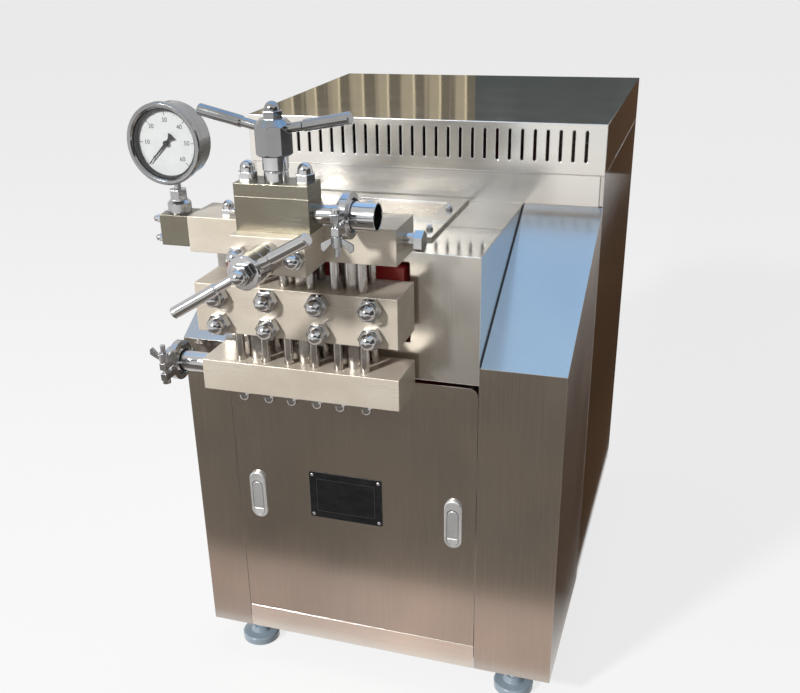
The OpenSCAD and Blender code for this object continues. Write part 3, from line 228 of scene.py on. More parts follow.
class Finish:
    """A material while it is built: one shader and the nodes that feed it."""

    def __init__(self, name, metallic=0.0, **sockets):
        self.material = bpy.data.materials.new(name)
        self.material.use_nodes = True
        self.tree = self.material.node_tree
        self.shader = self.tree.nodes["Principled BSDF"]
        self.shader.inputs["Metallic"].default_value = metallic
        for socket, value in sockets.items():
            self.shader.inputs[SOCKETS[socket]].default_value = value
        self.place = self.add("TexCoord", {}).outputs["Object"]

    def add(self, kind, inputs, **settings):
        """A node of this material."""
        return add_node(self.tree, kind, inputs, **settings)

    def feed(self, socket, source):
        """Links a source to one of the shader's inputs."""
        self.tree.links.new(source, self.shader.inputs[socket])

    def fed(self, socket):
        """The source that feeds one of the shader's inputs."""
        return self.shader.inputs[socket].links[0].from_socket

    def show(self, shader):
        """Shows another shader in the place of the first one."""
        self.tree.links.new(shader, self.tree.nodes["Material Output"].inputs["Surface"])

    def along(self, axis):
        """The place along an axis."""
        return self.add("SeparateXYZ", {"Vector": self.place}).outputs[axis]

    def noise(self, scale, stretch=(1.0, 1.0, 1.0), detail=3.0):
        """Noise over the piece, drawn out along the axes with a small stretch."""
        spot = self.add("VectorMath", {0: self.place, 1: stretch}, operation="MULTIPLY").outputs[0]
        return self.add("TexNoise", {"Vector": spot, "Scale": scale, "Detail": detail}).outputs["Fac"]

    def spread(self, value, low, high, start=0.3, end=0.7):
        """Maps start to end onto low to high."""
        limits = {"From Min": start, "From Max": end, "To Min": low, "To Max": high}
        return self.add("MapRange", {"Value": value, **limits}).outputs["Result"]

    def total(self, first, second):
        """The sum of two values."""
        return self.add("Math", {0: first, 1: second}, operation="ADD").outputs[0]

    def blend(self, share, first, second):
        """The first colour where the share is 0, and the second where it is 1."""
        return self.add("Mix", {0: share, 6: first, 7: second}, data_type="RGBA").outputs[2]

    def dapple(self, pattern, colour, dark, pale):
        """A colour that a pattern takes from a dark to a pale shade."""
        return self.blend(self.spread(pattern, 0.0, 1.0), shade(colour, dark), shade(colour, pale))

    def rework(self, share, roughness):
        """Gives a share of the faces another roughness."""
        worn = self.fed("Roughness")
        self.feed("Roughness", self.add("Mix", {0: share, 2: worn, 3: roughness}).outputs[0])

    def match(self, first, second):
        """1 where two directions agree, and 0 where they are square."""
        return self.add("VectorMath", {0: first, 1: second}, operation="DOT_PRODUCT").outputs["Value"]

    def facing(self, axis):
        """1 on faces that look along an axis, and 0 on those that look across it."""
        normal = self.add("NewGeometry", {}).outputs["True Normal"]
        return self.spread(self.match(normal, axis), 0.0, 1.0, start=0.9, end=0.98)

    def soft_edges(self, radius):
        """The normal with the edges rounded over, and a mask of those edges."""
        soft = self.add("Bevel", {"Radius": radius}, samples=6).outputs["Normal"]
        flat = self.add("NewGeometry", {}).outputs["Normal"]
        return soft, self.spread(self.match(soft, flat), 1.0, 0.0, start=0.72, end=0.995)

    def bump(self, height, strength, depth, normal):
        """Raises the surface by a height pattern."""
        pattern = {"Height": height, "Strength": strength, "Distance": depth, "Normal": normal}
        self.feed("Normal", self.add("Bump", pattern).outputs["Normal"])


def tint(colour, factor):
    """A colour made darker or brighter."""
    return tuple(min(1.0, part * factor) for part in colour)


def shade(colour, factor):
    """A colour made darker or brighter, with full alpha."""
    return (*tint(colour, factor), 1.0)


def warm(colour, amount):
    """A colour turned a little towards red brown, with full alpha."""
    red, green, blue = colour
    return (min(1.0, red * (1 + amount)), green, blue * (1 - amount), 1.0)


def dress(nodes, finish):
    """Gives CAD nodes a finish."""
    for name in nodes:
        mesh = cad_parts[name].data
        mesh.materials.clear()
        mesh.materials.append(finish.material)


def brushed(name, colour, roughness, grain, edge=1.35, edge_r=0.0022, metallic=1.0):
    """Rolled and brushed sheet: fine lines, cloudy handling marks, and edges painted brighter as a
    highlight.
    """
    finish = Finish(name, metallic=metallic)
    lines = finish.noise(1.0, grain, detail=2.0)
    clouds = finish.noise(5.0, detail=5.0)
    normal, edges = finish.soft_edges(edge_r)
    base = finish.blend(finish.spread(clouds, 0.0, 1.0), shade(colour, 0.9), warm(colour, 0.05))
    base = finish.blend(finish.spread(lines, 0.0, 0.3, 0.35, 0.75), base, shade(colour, 1.18))
    # Painted highlight: the edges are drawn brighter than the sheet, by the edge factor.
    finish.feed("Base Color", finish.blend(edges, base, shade(colour, edge)))
    worn = finish.total(
        finish.spread(clouds, roughness * 0.92, roughness * 1.08), finish.spread(lines, -0.015, 0.015)
    )
    finish.feed("Roughness", worn)
    finish.bump(lines, 0.04, 0.0003, normal)
    return finish


def polished(name, colour, roughness, edge_r=0.0012):
    """Polished steel with faint wiping marks and small pits."""
    finish = Finish(name, metallic=1.0)
    wipes = finish.noise(38.0, (1.0, 0.5, 1.0), detail=6.0)
    clouds = finish.noise(14.0, detail=3.0)
    normal, edges = finish.soft_edges(edge_r)
    base = finish.dapple(clouds, colour, 0.84, 1.04)
    # Painted highlight: the edges are drawn brighter than the steel.
    finish.feed("Base Color", finish.blend(edges, base, shade(colour, 1.2)))
    finish.feed("Roughness", finish.spread(wipes, roughness * 0.6, roughness * 1.7))
    finish.bump(finish.noise(260.0, detail=2.0), 0.03, 0.0003, normal)
    return finish


def machined(name, colour, roughness, metallic):
    """Milled block: fine cutter lines, soft stains, and edges painted bright as a highlight."""
    finish = Finish(name, metallic=metallic)
    cuts = finish.noise(1.0, (22.0, 900.0, 900.0), detail=2.0)
    grit = finish.noise(420.0, detail=3.0)
    stains = finish.noise(13.0, (1.0, 1.0, 1.6), detail=6.0)
    normal, edges = finish.soft_edges(0.0016)
    stained = warm(tint(colour, 0.86), 0.03)
    base = finish.blend(finish.spread(stains, 0.0, 1.0, 0.36, 0.66), stained, shade(colour, 1.05))
    base = finish.blend(finish.spread(grit, 0.0, 0.4, 0.55, 0.75), base, shade(colour, 0.72))
    # Painted highlight: the block's edges are drawn brighter.
    finish.feed("Base Color", finish.blend(edges, base, shade(colour, 1.3)))
    worn = finish.total(
        finish.spread(stains, roughness * 1.12, roughness * 0.84, 0.36, 0.66),
        finish.spread(cuts, -0.05, 0.05),
    )
    finish.feed("Roughness", worn)
    finish.bump(finish.total(cuts, grit), 0.09, 0.0004, normal)
    return finish


def painted(name, colour, roughness, lumps=90.0, depth=0.25, coat=0.0):
    """Sprayed paint over metal, slightly lumpy, with patches along the edges drawn lighter."""
    finish = Finish(name, roughness=roughness, coat_weight=coat)
    clouds = finish.noise(9.0, detail=4.0)
    peel = finish.noise(lumps, detail=3.0)
    normal, edges = finish.soft_edges(0.0018)
    base = finish.dapple(clouds, colour, 0.82, 1.1)
    # Patches along the edges are drawn a lighter shade of the paint.
    light_edge_patches = finish.add("Math", {0: edges, 1: finish.spread(peel, 0.0, 0.8, 0.5, 0.6)}, operation="MULTIPLY")
    finish.feed("Base Color", finish.blend(light_edge_patches.outputs[0], base, shade(colour, 1.9)))
    finish.feed("Roughness", finish.spread(clouds, roughness * 0.8, roughness * 1.2))
    finish.bump(peel, depth, 0.0006, normal)
    return finish


def speckled(name, colour, scale, shades, rough, detail=3.0, metallic=0.0):
    """Plain finish with fine specks between two shades and two levels of gloss."""
    finish = Finish(name, metallic=metallic)
    specks = finish.noise(scale, detail=detail)
    finish.feed("Base Color", finish.dapple(specks, colour, *shades))
    finish.feed("Roughness", finish.spread(specks, *rough))
    return finish


def studio_mix(tree, lit, shown):
    """A shader that is one thing to soft light and another to the camera, gloss and glass."""
    rays = add_node(tree, "LightPath", {}).outputs
    seen = rays["Is Camera Ray"]
    for ray in ("Is Glossy Ray", "Is Transmission Ray"):
        seen = add_node(tree, "Math", {0: seen, 1: rays[ray]}, operation="MAXIMUM").outputs[0]
    return add_node(tree, "MixShader", {0: seen, 1: lit, 2: shown}).outputs[0]


def new_piece(name, bm, finish, body=None):
    """Turns a bmesh into an object, and lets it ride on a body."""
    mesh = bpy.data.meshes.new(name)
    bm.normal_update()
    bm.to_mesh(mesh)
    bm.free()
    piece = bpy.data.objects.new(name, mesh)
    bpy.context.scene.collection.objects.link(piece)
    if finish:
        mesh.materials.append(finish.material)
    if body:
        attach(piece, body)
    return piece


def arc(x, y, r, start, sweep, steps):
    """Points of an arc about a centre, from a start angle through a sweep."""
    turns = [start + sweep * step / steps for step in range(steps + 1)]
    return [(x + r * math.cos(turn), y + r * math.sin(turn)) for turn in turns]


def rounded_outline(w, h, r, steps=6):
    """Points of a rectangle with round corners, about the origin."""
    square = math.pi / 2
    points = []
    for quarter, (sx, sy) in enumerate(((1, 1), (-1, 1), (-1, -1), (1, -1))):
        points += arc(sx * (w / 2 - r), sy * (h / 2 - r), r, quarter * square, square, steps)
    return points


def stadium(w, low, high, steps=10):
    """Points of an upright slot shape with round ends."""
    r = w / 2
    return arc(0.0, high - r, r, 0.0, math.pi, steps) + arc(0.0, low + r, r, math.pi, math.pi, steps)


def arch(w, low, high, steps=12):
    """Points of an upright shape with a round top and a square foot."""
    r = w / 2
    return [*arc(0.0, high - r, r, 0.0, math.pi, steps), (-r, low), (r, low)]


def join_rings(bm, rings):
    """Faces between rings of points that follow one another."""
    for low, high in zip(rings, rings[1:]):
        for i in range(len(low)):
            j = (i + 1) % len(low)
            bm.faces.new((low[i], low[j], high[j], high[i]))


def add_loft(bm, rings):
    """A closed skin through rings of spots."""
    rings = [[bm.verts.new(spot) for spot in ring] for ring in rings]
    bm.faces.new(reversed(rings[0]))
    bm.faces.new(rings[-1])
    join_rings(bm, rings)


def add_skin(bm, rings, place):
    """A closed skin through outlines at their heights, drawn in XY and moved by a matrix."""
    add_loft(bm, [[place @ Vector((x, y, z)) for x, y in outline] for outline, z in rings])


def add_turned(bm, profile, place, around=32):
    """A turned shape from a profile of radius and height that starts and ends on its axis."""
    rings = []
    for radius, height in profile:
        if radius == 0.0:
            rings.append([bm.verts.new(place @ Vector((0.0, 0.0, height)))])
            continue
        angles = [2 * math.pi * i / around for i in range(around)]
        rings.append([
            bm.verts.new(place @ Vector((radius * math.cos(a), radius * math.sin(a), height)))
            for a in angles
        ])
    for low, high in zip(rings, rings[1:]):
        for i in range(around):
            j = (i + 1) % around
            if len(low) == 1:
                bm.faces.new((low[0], high[j], high[i]))
            elif len(high) == 1:
                bm.faces.new((low[i], low[j], high[0]))
            else:
                bm.faces.new((low[i], low[j], high[j], high[i]))


def facing_front(x, y, z):
    """Places a shape drawn in XY so that its +Z looks out of the front."""
    return Matrix.Translation((x, y, z)) @ Matrix.Rotation(math.pi / 2, 4, "X")


def smooth(piece, angle=35.0):
    """Shades a piece smooth, with its sharp edges kept."""
    for face in piece.data.polygons:
        face.use_smooth = True
    piece.data.set_sharp_from_angle(angle=math.radians(angle))


class HOMOGENIZER_OT_camera(Operator):
    """Stands the camera where the photograph was taken"""

    bl_idname = "homogenizer.camera"
    bl_label = "Camera"

    def execute(self, context):
        studio = context.scene.homogenizer_studio
        data = bpy.data.cameras.new("camera")
        data.lens = studio.camera_lens
        data.shift_x, data.shift_y = studio.camera_shift
        camera = bpy.data.objects.new("camera", data)
        camera.location = studio.camera_place
        camera.rotation_euler = studio.camera_turn
        context.scene.collection.objects.link(camera)
        context.scene.camera = camera
        return {"FINISHED"}


class HOMOGENIZER_OT_stage(Operator):
    """Lays the pale floor and sets the backdrop, the lamps and the reflecting cards"""

    bl_idname = "homogenizer.stage"
    bl_label = "Stage"

    # Spots that the lamps aim at
    key_aim = (-0.05, -0.3, 0.7)
    fill_aim = (0.0, -0.1, 0.5)
    top_aim = (0.0, 0.1, 0.5)
    # Height of the floor cards above the floor
    card_rise = 0.004
    # Distances in front of the panel where the floor cards start and end
    floor_steps = (0.08, 0.28, 2.0, 2.5)

    def execute(self, context):
        studio = context.scene.homogenizer_studio
        context.scene.view_settings.view_transform = "Standard"
        self.backdrop(context.scene, studio)
        self.floor(studio)
        self.lamp("key_lamp", studio.key_place, self.key_aim, studio.key_size, studio.key_power)
        self.lamp("fill_lamp", studio.fill_place, self.fill_aim, studio.fill_size, studio.fill_power)
        self.lamp("top_lamp", studio.top_place, self.top_aim, studio.top_size, studio.top_power)
        self.floor_cards(studio)
        self.wall_cards(studio)
        return {"FINISHED"}

    def backdrop(self, scene, studio):
        """A pale backdrop to the camera and to gloss, and a low soft light to the rest."""
        world = bpy.data.worlds.new("backdrop")
        world.use_nodes = True
        tree = world.node_tree
        lit = tree.nodes["Background"]
        lit.inputs["Color"].default_value = (1.0, 1.0, 1.0, 1.0)
        lit.inputs["Strength"].default_value = studio.ambient
        shown = add_node(tree, "Background", {"Color": (*studio.backdrop_colour, 1.0)})
        mixed = studio_mix(tree, lit.outputs[0], shown.outputs[0])
        tree.links.new(mixed, tree.nodes["World Output"].inputs["Surface"])
        scene.world = world

    def floor(self, studio):
        """A pale floor that keeps the machine's shadow and throws little light back on it."""
        finish = Finish("floor", roughness=0.8)
        finish.feed("Base Color", finish.dapple(finish.noise(1.5), studio.floor_colour, 0.98, 1.0))
        lit = finish.shader.outputs[0]
        glow = finish.add("Emission", {"Color": (*studio.glow_colour, 1.0)}).outputs[0]
        both = finish.add("MixShader", {0: studio.floor_glow, 1: lit, 2: glow})
        dim = finish.add("BsdfDiffuse", {"Color": (*studio.bounce_colour, 1.0)})
        finish.show(studio_mix(finish.tree, dim.outputs[0], both.outputs[0]))
        bm = bmesh.new()
        bmesh.ops.create_circle(bm, cap_ends=True, segments=96, radius=studio.floor_reach)
        new_piece("floor", bm, finish)

    def lamp(self, name, place, target, size, power):
        """A round soft lamp that stands at a place and looks at a target."""
        data = bpy.data.lights.new(name, "AREA")
        data.shape = "DISK"
        data.size = size
        data.energy = power
        lamp = bpy.data.objects.new(name, data)
        lamp.location = place
        lamp.rotation_euler = (Vector(place) - Vector(target)).to_track_quat("Z", "Y").to_euler()
        bpy.context.scene.collection.objects.link(lamp)

    def floor_cards(self, studio):
        """Cards on the floor in front of the panel and beside the cabinet."""
        low, high = CAD_BOX
        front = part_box("front_panel")[0].y
        near, middle, far, last = (front - step for step in self.floor_steps)
        rise = self.card_rise
        self.card("floor_flag", studio.flag_colour, 1.0, (-1.5, far, rise), (1.5, middle, rise))
        self.card("near_flag", studio.near_colour, 1.0, (-1.5, middle, rise), (1.5, near, rise))
        self.card("far_flag", studio.flag_colour, 2.0, (-1.7, last, rise), (1.7, far, rise))
        inner, fading, outer = (high.x + gap for gap in (0.012, 0.25, 0.612))
        start, full = low.y + 0.3, low.y + 0.6
        self.card(
            "side_flag", studio.side_flag_colour, 1.0, (inner, start, rise), (outer, start + 4.0, rise),
            fade=(("X", outer, fading), ("Y", start, full)),
        )

    def wall_cards(self, studio):
        """Upright cards round the machine, and one above it."""
        low, high = CAD_BOX
        inner, fading, outer = (high.x + gap for gap in (0.08, 0.6, 0.98))
        behind, top = high.y + 3.2, 1.4
        self.card(
            "side_wall", studio.side_flag_colour, 1.2, (inner, behind, 0.0), (outer, behind, top),
            fade=(("X", outer, fading), ("Z", top, 0.9)),
        )
        behind, foot, top, split = high.y + 3.6, 0.6, 1.75, -0.87
        self.card(
            "back_flag", studio.back_colour, 1.0, (-3.6, behind, foot), (split, behind, top),
            fold_scale=2.05,
        )
        self.card("back_wall", studio.slate_colour, 1.0, (split, behind, foot), (1.0, behind, top))
        before, right = low.y - 2.9, high.x + 2.2
        self.card("front_wall", studio.wall_colour, 1.0, (-0.6, before, 1.05), (4.0, before, 2.55))
        self.card("right_wall", studio.wall_colour, 1.0, (right, before, 0.0), (right, before + 4.2, 2.1))
        half, near, far, above = 1.6, -0.75, 1.55, 2.45
        self.card(
            "sky_card", studio.sky_colour, 1.7, (-half, near, above), (half, far, above),
            fade=(("X", -half, -1.0), ("X", half, 1.0), ("Y", near, -0.35), ("Y", far, 0.95)),
        )

    def card(self, name, colour, strength, low, high, fold_scale=0.0, fade=()):
        """A glowing card from corner to corner that only gloss sees, for the steel to reflect."""
        finish = Finish(name)
        if fold_scale:
            mixed = self.folds(finish, colour, fold_scale)
        else:
            drift = finish.noise(1.6, (2.2, 0.5, 0.5), detail=2.0)
            mixed = finish.dapple(drift, colour, 0.8, 1.2)
        glow = finish.add("Emission", {"Color": mixed, "Strength": strength})
        finish.show(self.faded(finish, glow.outputs[0], fade))
        side = (high[0], low[1], low[2]) if high[0] > low[0] else (low[0], high[1], low[2])
        up = Vector(high) - Vector(side)
        bm = bmesh.new()
        bm.faces.new([bm.verts.new(spot) for spot in (low, side, high, Vector(low) + up)])
        card = new_piece(name, bm, finish)
        card.visible_camera = False
        card.visible_diffuse = False
        card.visible_shadow = False
        card.visible_volume_scatter = False

    def faded(self, finish, glow, fade):
        """Fades a card out towards edges, each given as an axis, the edge and the fade's start."""
        for axis, edge, start in fade:
            share = finish.spread(finish.along(axis), 1.0, 0.0, start, edge)
            clear = finish.add("BsdfTransparent", {})
            glow = finish.add("MixShader", {0: share, 1: clear.outputs[0], 2: glow}).outputs[0]
        return glow

    def folds(self, finish, colour, scale):
        """Upright folds of a hung cloth: a dark side, a pale side and a bright edge."""
        waves = {"Vector": finish.place, "Scale": scale, "Distortion": 0.5, "Detail": 2.0}
        fold = finish.add("TexWave", waves, wave_profile="SAW").outputs["Fac"]
        threads = finish.spread(finish.noise(34.0, (1.0, 0.02, 0.02), detail=3.0), -0.22, 0.22)
        sides = finish.spread(finish.total(fold, threads), 0.0, 1.0, 0.38, 0.62)
        mixed = finish.blend(sides, shade(colour, 0.5), shade(colour, 1.35))
        return finish.blend(finish.spread(fold, 0.0, 1.0, 0.9, 0.96), mixed, shade(colour, 2.7))


class HOMOGENIZER_OT_cabinet(Operator):
    """Finishes the cabinet's sheets, lid, feet and frame"""

    bl_idname = "homogenizer.cabinet"
    bl_label = "Cabinet"

    # Depths under the lid's rim where its field begins to show and where it shows fully
    field_start = 0.0018
    field_full = 0.0022

    def execute(self, context):
        colours = context.scene.homogenizer_finish
        satin = brushed("satin_sheet", colours.sheet, 0.2, UPRIGHT_GRAIN, edge=1.15, edge_r=0.001)
        dress(SATIN_SHEETS, satin)
        # Painted reflection: the skirt is drawn 1.45 times as bright as the satin sheets, for the pale
        # floor it reflects.
        skirt_colour = tint(colours.sheet, 1.45)
        dress(("skirt",), brushed("skirt_sheet", skirt_colour, 0.24, LEVEL_GRAIN, metallic=0.9))
        dress(("crankcase_cover",), self.cover(colours))
        # Painted light: the band is drawn 1.1 times as bright as the bright sheet, a level set for its lit
        # look and lowered to keep its glints under white.
        band_colour = tint(colours.bright, 1.1)
        dress(("rear_band",), brushed("band_sheet", band_colour, 0.17, LEVEL_GRAIN, metallic=0.75))
        dress(("vent_hood",), self.hood(colours))
        dress(("side_panels",), brushed("mirror_sheet", colours.mirror, 0.07, (500.0, 9.0, 500.0)))
        dress(("back_panel",), brushed("back_sheet", colours.mirror, 0.26, (9.0, 500.0, 500.0)))
        dress(("inspection_lid",), self.lid(colours))
        dress(("feet",), painted("foot_paint", colours.foot, 0.22, lumps=40.0, depth=0.12, coat=0.6))
        dress(("base_frame",), painted("frame_paint", colours.frame_paint, 0.5))
        return {"FINISHED"}

    def cover(self, colours):
        """Cover sheet, satin in front and nearly a mirror on top."""
        finish = brushed("cover_sheet", colours.bright, 0.2, (800.0, 800.0, 8.0), metallic=0.85)
        self.polish(finish, 0.1, finish.facing((0.0, 0.0, 1.0)))
        return finish

    def hood(self, colours):
        """Hood sheet, bright satin in front and behind, and a mirror on its top and sides."""
        # Painted light: the hood is drawn 1.12 times as bright as the bright sheet, in place of more light
        # on it.
        colour = tint(colours.bright, 1.12)
        finish = brushed("hood_sheet", colour, 0.2, LEVEL_GRAIN, edge=1.5, metallic=0.88)
        sides = finish.total(finish.facing((1.0, 0.0, 0.0)), finish.facing((-1.0, 0.0, 0.0)))
        self.polish(finish, 0.045, finish.total(sides, finish.facing((0.0, 0.0, 1.0))))
        return finish

    def polish(self, finish, roughness, share):
        """Lowers the roughness on a share of the faces, with faint wiping marks."""
        wipes = finish.noise(20.0, detail=5.0)
        finish.rework(share, finish.spread(wipes, roughness * 0.7, roughness * 1.6))

    def lid(self, colours):
        """Lid with a bright rim, and a field in its recess drawn darker and warmer as a painted reflection,
        with a satin roughness.
        """
        # Painted shade: the lid is drawn at 0.85 of the bright sheet, so that its glints stay under white.
        finish = brushed("lid_sheet", tint(colours.bright, 0.85), 0.17, (8.0, 600.0, 600.0))
        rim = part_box("inspection_lid")[1].z
        field = finish.spread(finish.along("Z"), 1.0, 0.0, rim - self.field_full, rim - self.field_start)
        # Painted reflection: the recessed field is drawn darker and warmer than the rim.
        satin = warm(tint(colours.bright, 0.76), 0.1)
        finish.feed("Base Color", finish.blend(field, finish.fed("Base Color"), satin))
        finish.rework(field, finish.spread(finish.noise(60.0), 0.2, 0.28))
        return finish


class HOMOGENIZER_OT_pump_head(Operator):
    """Finishes the blocks, sleeves, studs, stages and fittings of the pump head"""

    bl_idname = "homogenizer.pump_head"
    bl_label = "Pump head"

    def execute(self, context):
        colours = context.scene.homogenizer_finish
        dress(BLOCKS, machined("machined_block", colours.machined, 0.36, 0.3))
        dress(STAGE_BLOCKS, machined("ground_block", colours.stage, 0.34, 0.8))
        dress(COLUMNS, polished("turned_column", warm(tint(colours.polished, 0.92), 0.05)[:3], 0.17))
        dress(NUTS, polished("polished_nut", colours.polished, 0.1))
        dress(TURNED_FITTINGS, polished("turned_fitting", colours.polished, 0.12))
        dress(("stage1_handwheel",), polished("dark_fitting", tint(colours.polished, 0.62), 0.1))
        dress(("gauge_case",), polished("bezel_steel", tint(colours.polished, 0.62), 0.14))
        dress(CAST_FITTINGS, polished("cast_fitting", tint(colours.polished, 0.88), 0.2))
        dress(("plunger_glands",), polished("gland_bronze", colours.bronze, 0.24))
        return {"FINISHED"}


class HOMOGENIZER_OT_drive(Operator):
    """Finishes the crankcase, motor, shafts, pulleys and belts inside the cabinet"""

    bl_idname = "homogenizer.drive"
    bl_label = "Drive"

    def execute(self, context):
        colours = context.scene.homogenizer_finish
        casting = painted("casting_paint", colours.red, 0.36, lumps=160.0, depth=0.45, coat=0.3)
        dress(("crankcase",), casting)
        dress(("motor",), painted("motor_paint", colours.motor, 0.42, lumps=120.0))
        dress(SHAFTS, polished("turned_shaft", tint(colours.polished, 0.9), 0.16))
        dress(PULLEYS, brushed("cast_pulley", colours.cast_iron, 0.42, (300.0, 60.0, 60.0), edge=1.8))
        dress(("v_belts",), self.belt(colours.rubber))
        return {"FINISHED"}

    def belt(self, colour):
        """Dusty rubber with the fine ribs of a wrapped belt."""
        finish = speckled("belt_rubber", colour, 30.0, (1.0, 3.4), (0.5, 0.75), detail=5.0)
        normal, _ = finish.soft_edges(0.001)
        finish.bump(finish.noise(900.0, (0.1, 1.0, 1.0)), 0.25, 0.0004, normal)
        return finish


class HOMOGENIZER_OT_latches(Operator):
    """Makes the oval bezel, flip handle and push button of the two latches"""

    bl_idname = "homogenizer.latches"
    bl_label = "Latches"

    # Height of the handle's and the button's faces above the panel
    handle_face = 0.0068
    button_face = 0.0072
    # Height of their backs above the panel
    handle_back = 0.0024
    button_back = 0.0028
    # Rounding of their edges
    cut = 0.0009
    # Bezel: rim past its body, slope of its edge, height of its face, and play round the handle
    lip = 0.0008
    slope = 0.0016
    rise = 0.006
    play = 0.001

    def execute(self, context):
        colour = context.scene.homogenizer_finish.latch
        trim = context.scene.homogenizer_trim
        bezel_metal = self.metal("latch_metal", colour)
        handle_metal = self.metal("handle_metal", tint(colour, 0.86))
        button_metal = self.metal("button_metal", tint(colour, 1.2))
        low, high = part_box("latch_bezels")
        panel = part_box("front_panel")[0].y
        bezels = bmesh.new()
        for side in ("left", "right"):
            node_low, node_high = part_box("latch_handle_" + side)
            place = facing_front((node_low.x + node_high.x) / 2, panel, (low.z + high.z) / 2)
            self.bezel(bezels, trim, high.y - panel, place)
            foot = trim.button_high + self.play
            handle = (trim.handle_w, foot, trim.handle_high, self.handle_back, self.handle_face)
            self.mover("flip_" + side, "latch_handle_" + side, handle, place, handle_metal)
            foot, top = -trim.button_high, -trim.button_low
            button = (trim.handle_w, foot, top, self.button_back, self.button_face)
            turned = place @ Matrix.Rotation(math.pi, 4, "Z")
            self.mover("push_" + side, "latch_button_" + side, button, turned, button_metal)
        piece = new_piece("latch_bezel_pair", bezels, bezel_metal, "front_panel")
        smooth(piece)
        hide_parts("latch_bezels")
        return {"FINISHED"}

    def metal(self, name, colour):
        """Satin die-cast metal with edges painted brighter as a highlight."""
        finish = Finish(name, metallic=0.7)
        cloud = finish.noise(30.0, detail=5.0)
        grain = finish.noise(700.0, detail=2.0)
        normal, edges = finish.soft_edges(0.0008)
        base = finish.dapple(cloud, colour, 0.9, 1.06)
        # Painted highlight: the edges are drawn brighter than the metal.
        finish.feed("Base Color", finish.blend(edges, base, shade(colour, 1.3)))
        finish.feed("Roughness", finish.spread(cloud, 0.26, 0.38))
        finish.bump(grain, 0.06, 0.0003, normal)
        return finish

    def bezel(self, bm, trim, depth, place):
        """Oval frame with a pocket for the handle and the button, and a body behind the panel."""
        w, half = trim.latch_w, trim.latch_l / 2
        lip, slope, rise, play = self.lip, self.slope, self.rise, self.play
        body = stadium(w - 2 * lip, -half + lip, half - lip)
        rim = stadium(w, -half, half)
        face = stadium(w - 2 * slope, -half + slope, half - slope)
        pocket = stadium(trim.handle_w + 2 * play, trim.button_low - play, trim.handle_high + 2 * play)
        add_skin(bm, [
            (body, -depth), (body, 0.0), (rim, 0.0), (rim, rise - slope), (face, rise),
            (pocket, rise), (pocket, -play),
        ], place)

    def mover(self, name, node, span, place, finish):
        """A flip handle or a push button, square at its foot and round at its top."""
        wide, low, high, back, top = span
        cut = self.cut
        edge = arch(wide, low, high)
        face = arch(wide - 2 * cut, low + cut, high - cut)
        bm = bmesh.new()
        add_skin(bm, [(edge, back), (edge, top - cut), (face, top)], place)
        piece = new_piece(name, bm, finish, node)
        smooth(piece)
        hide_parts(node)


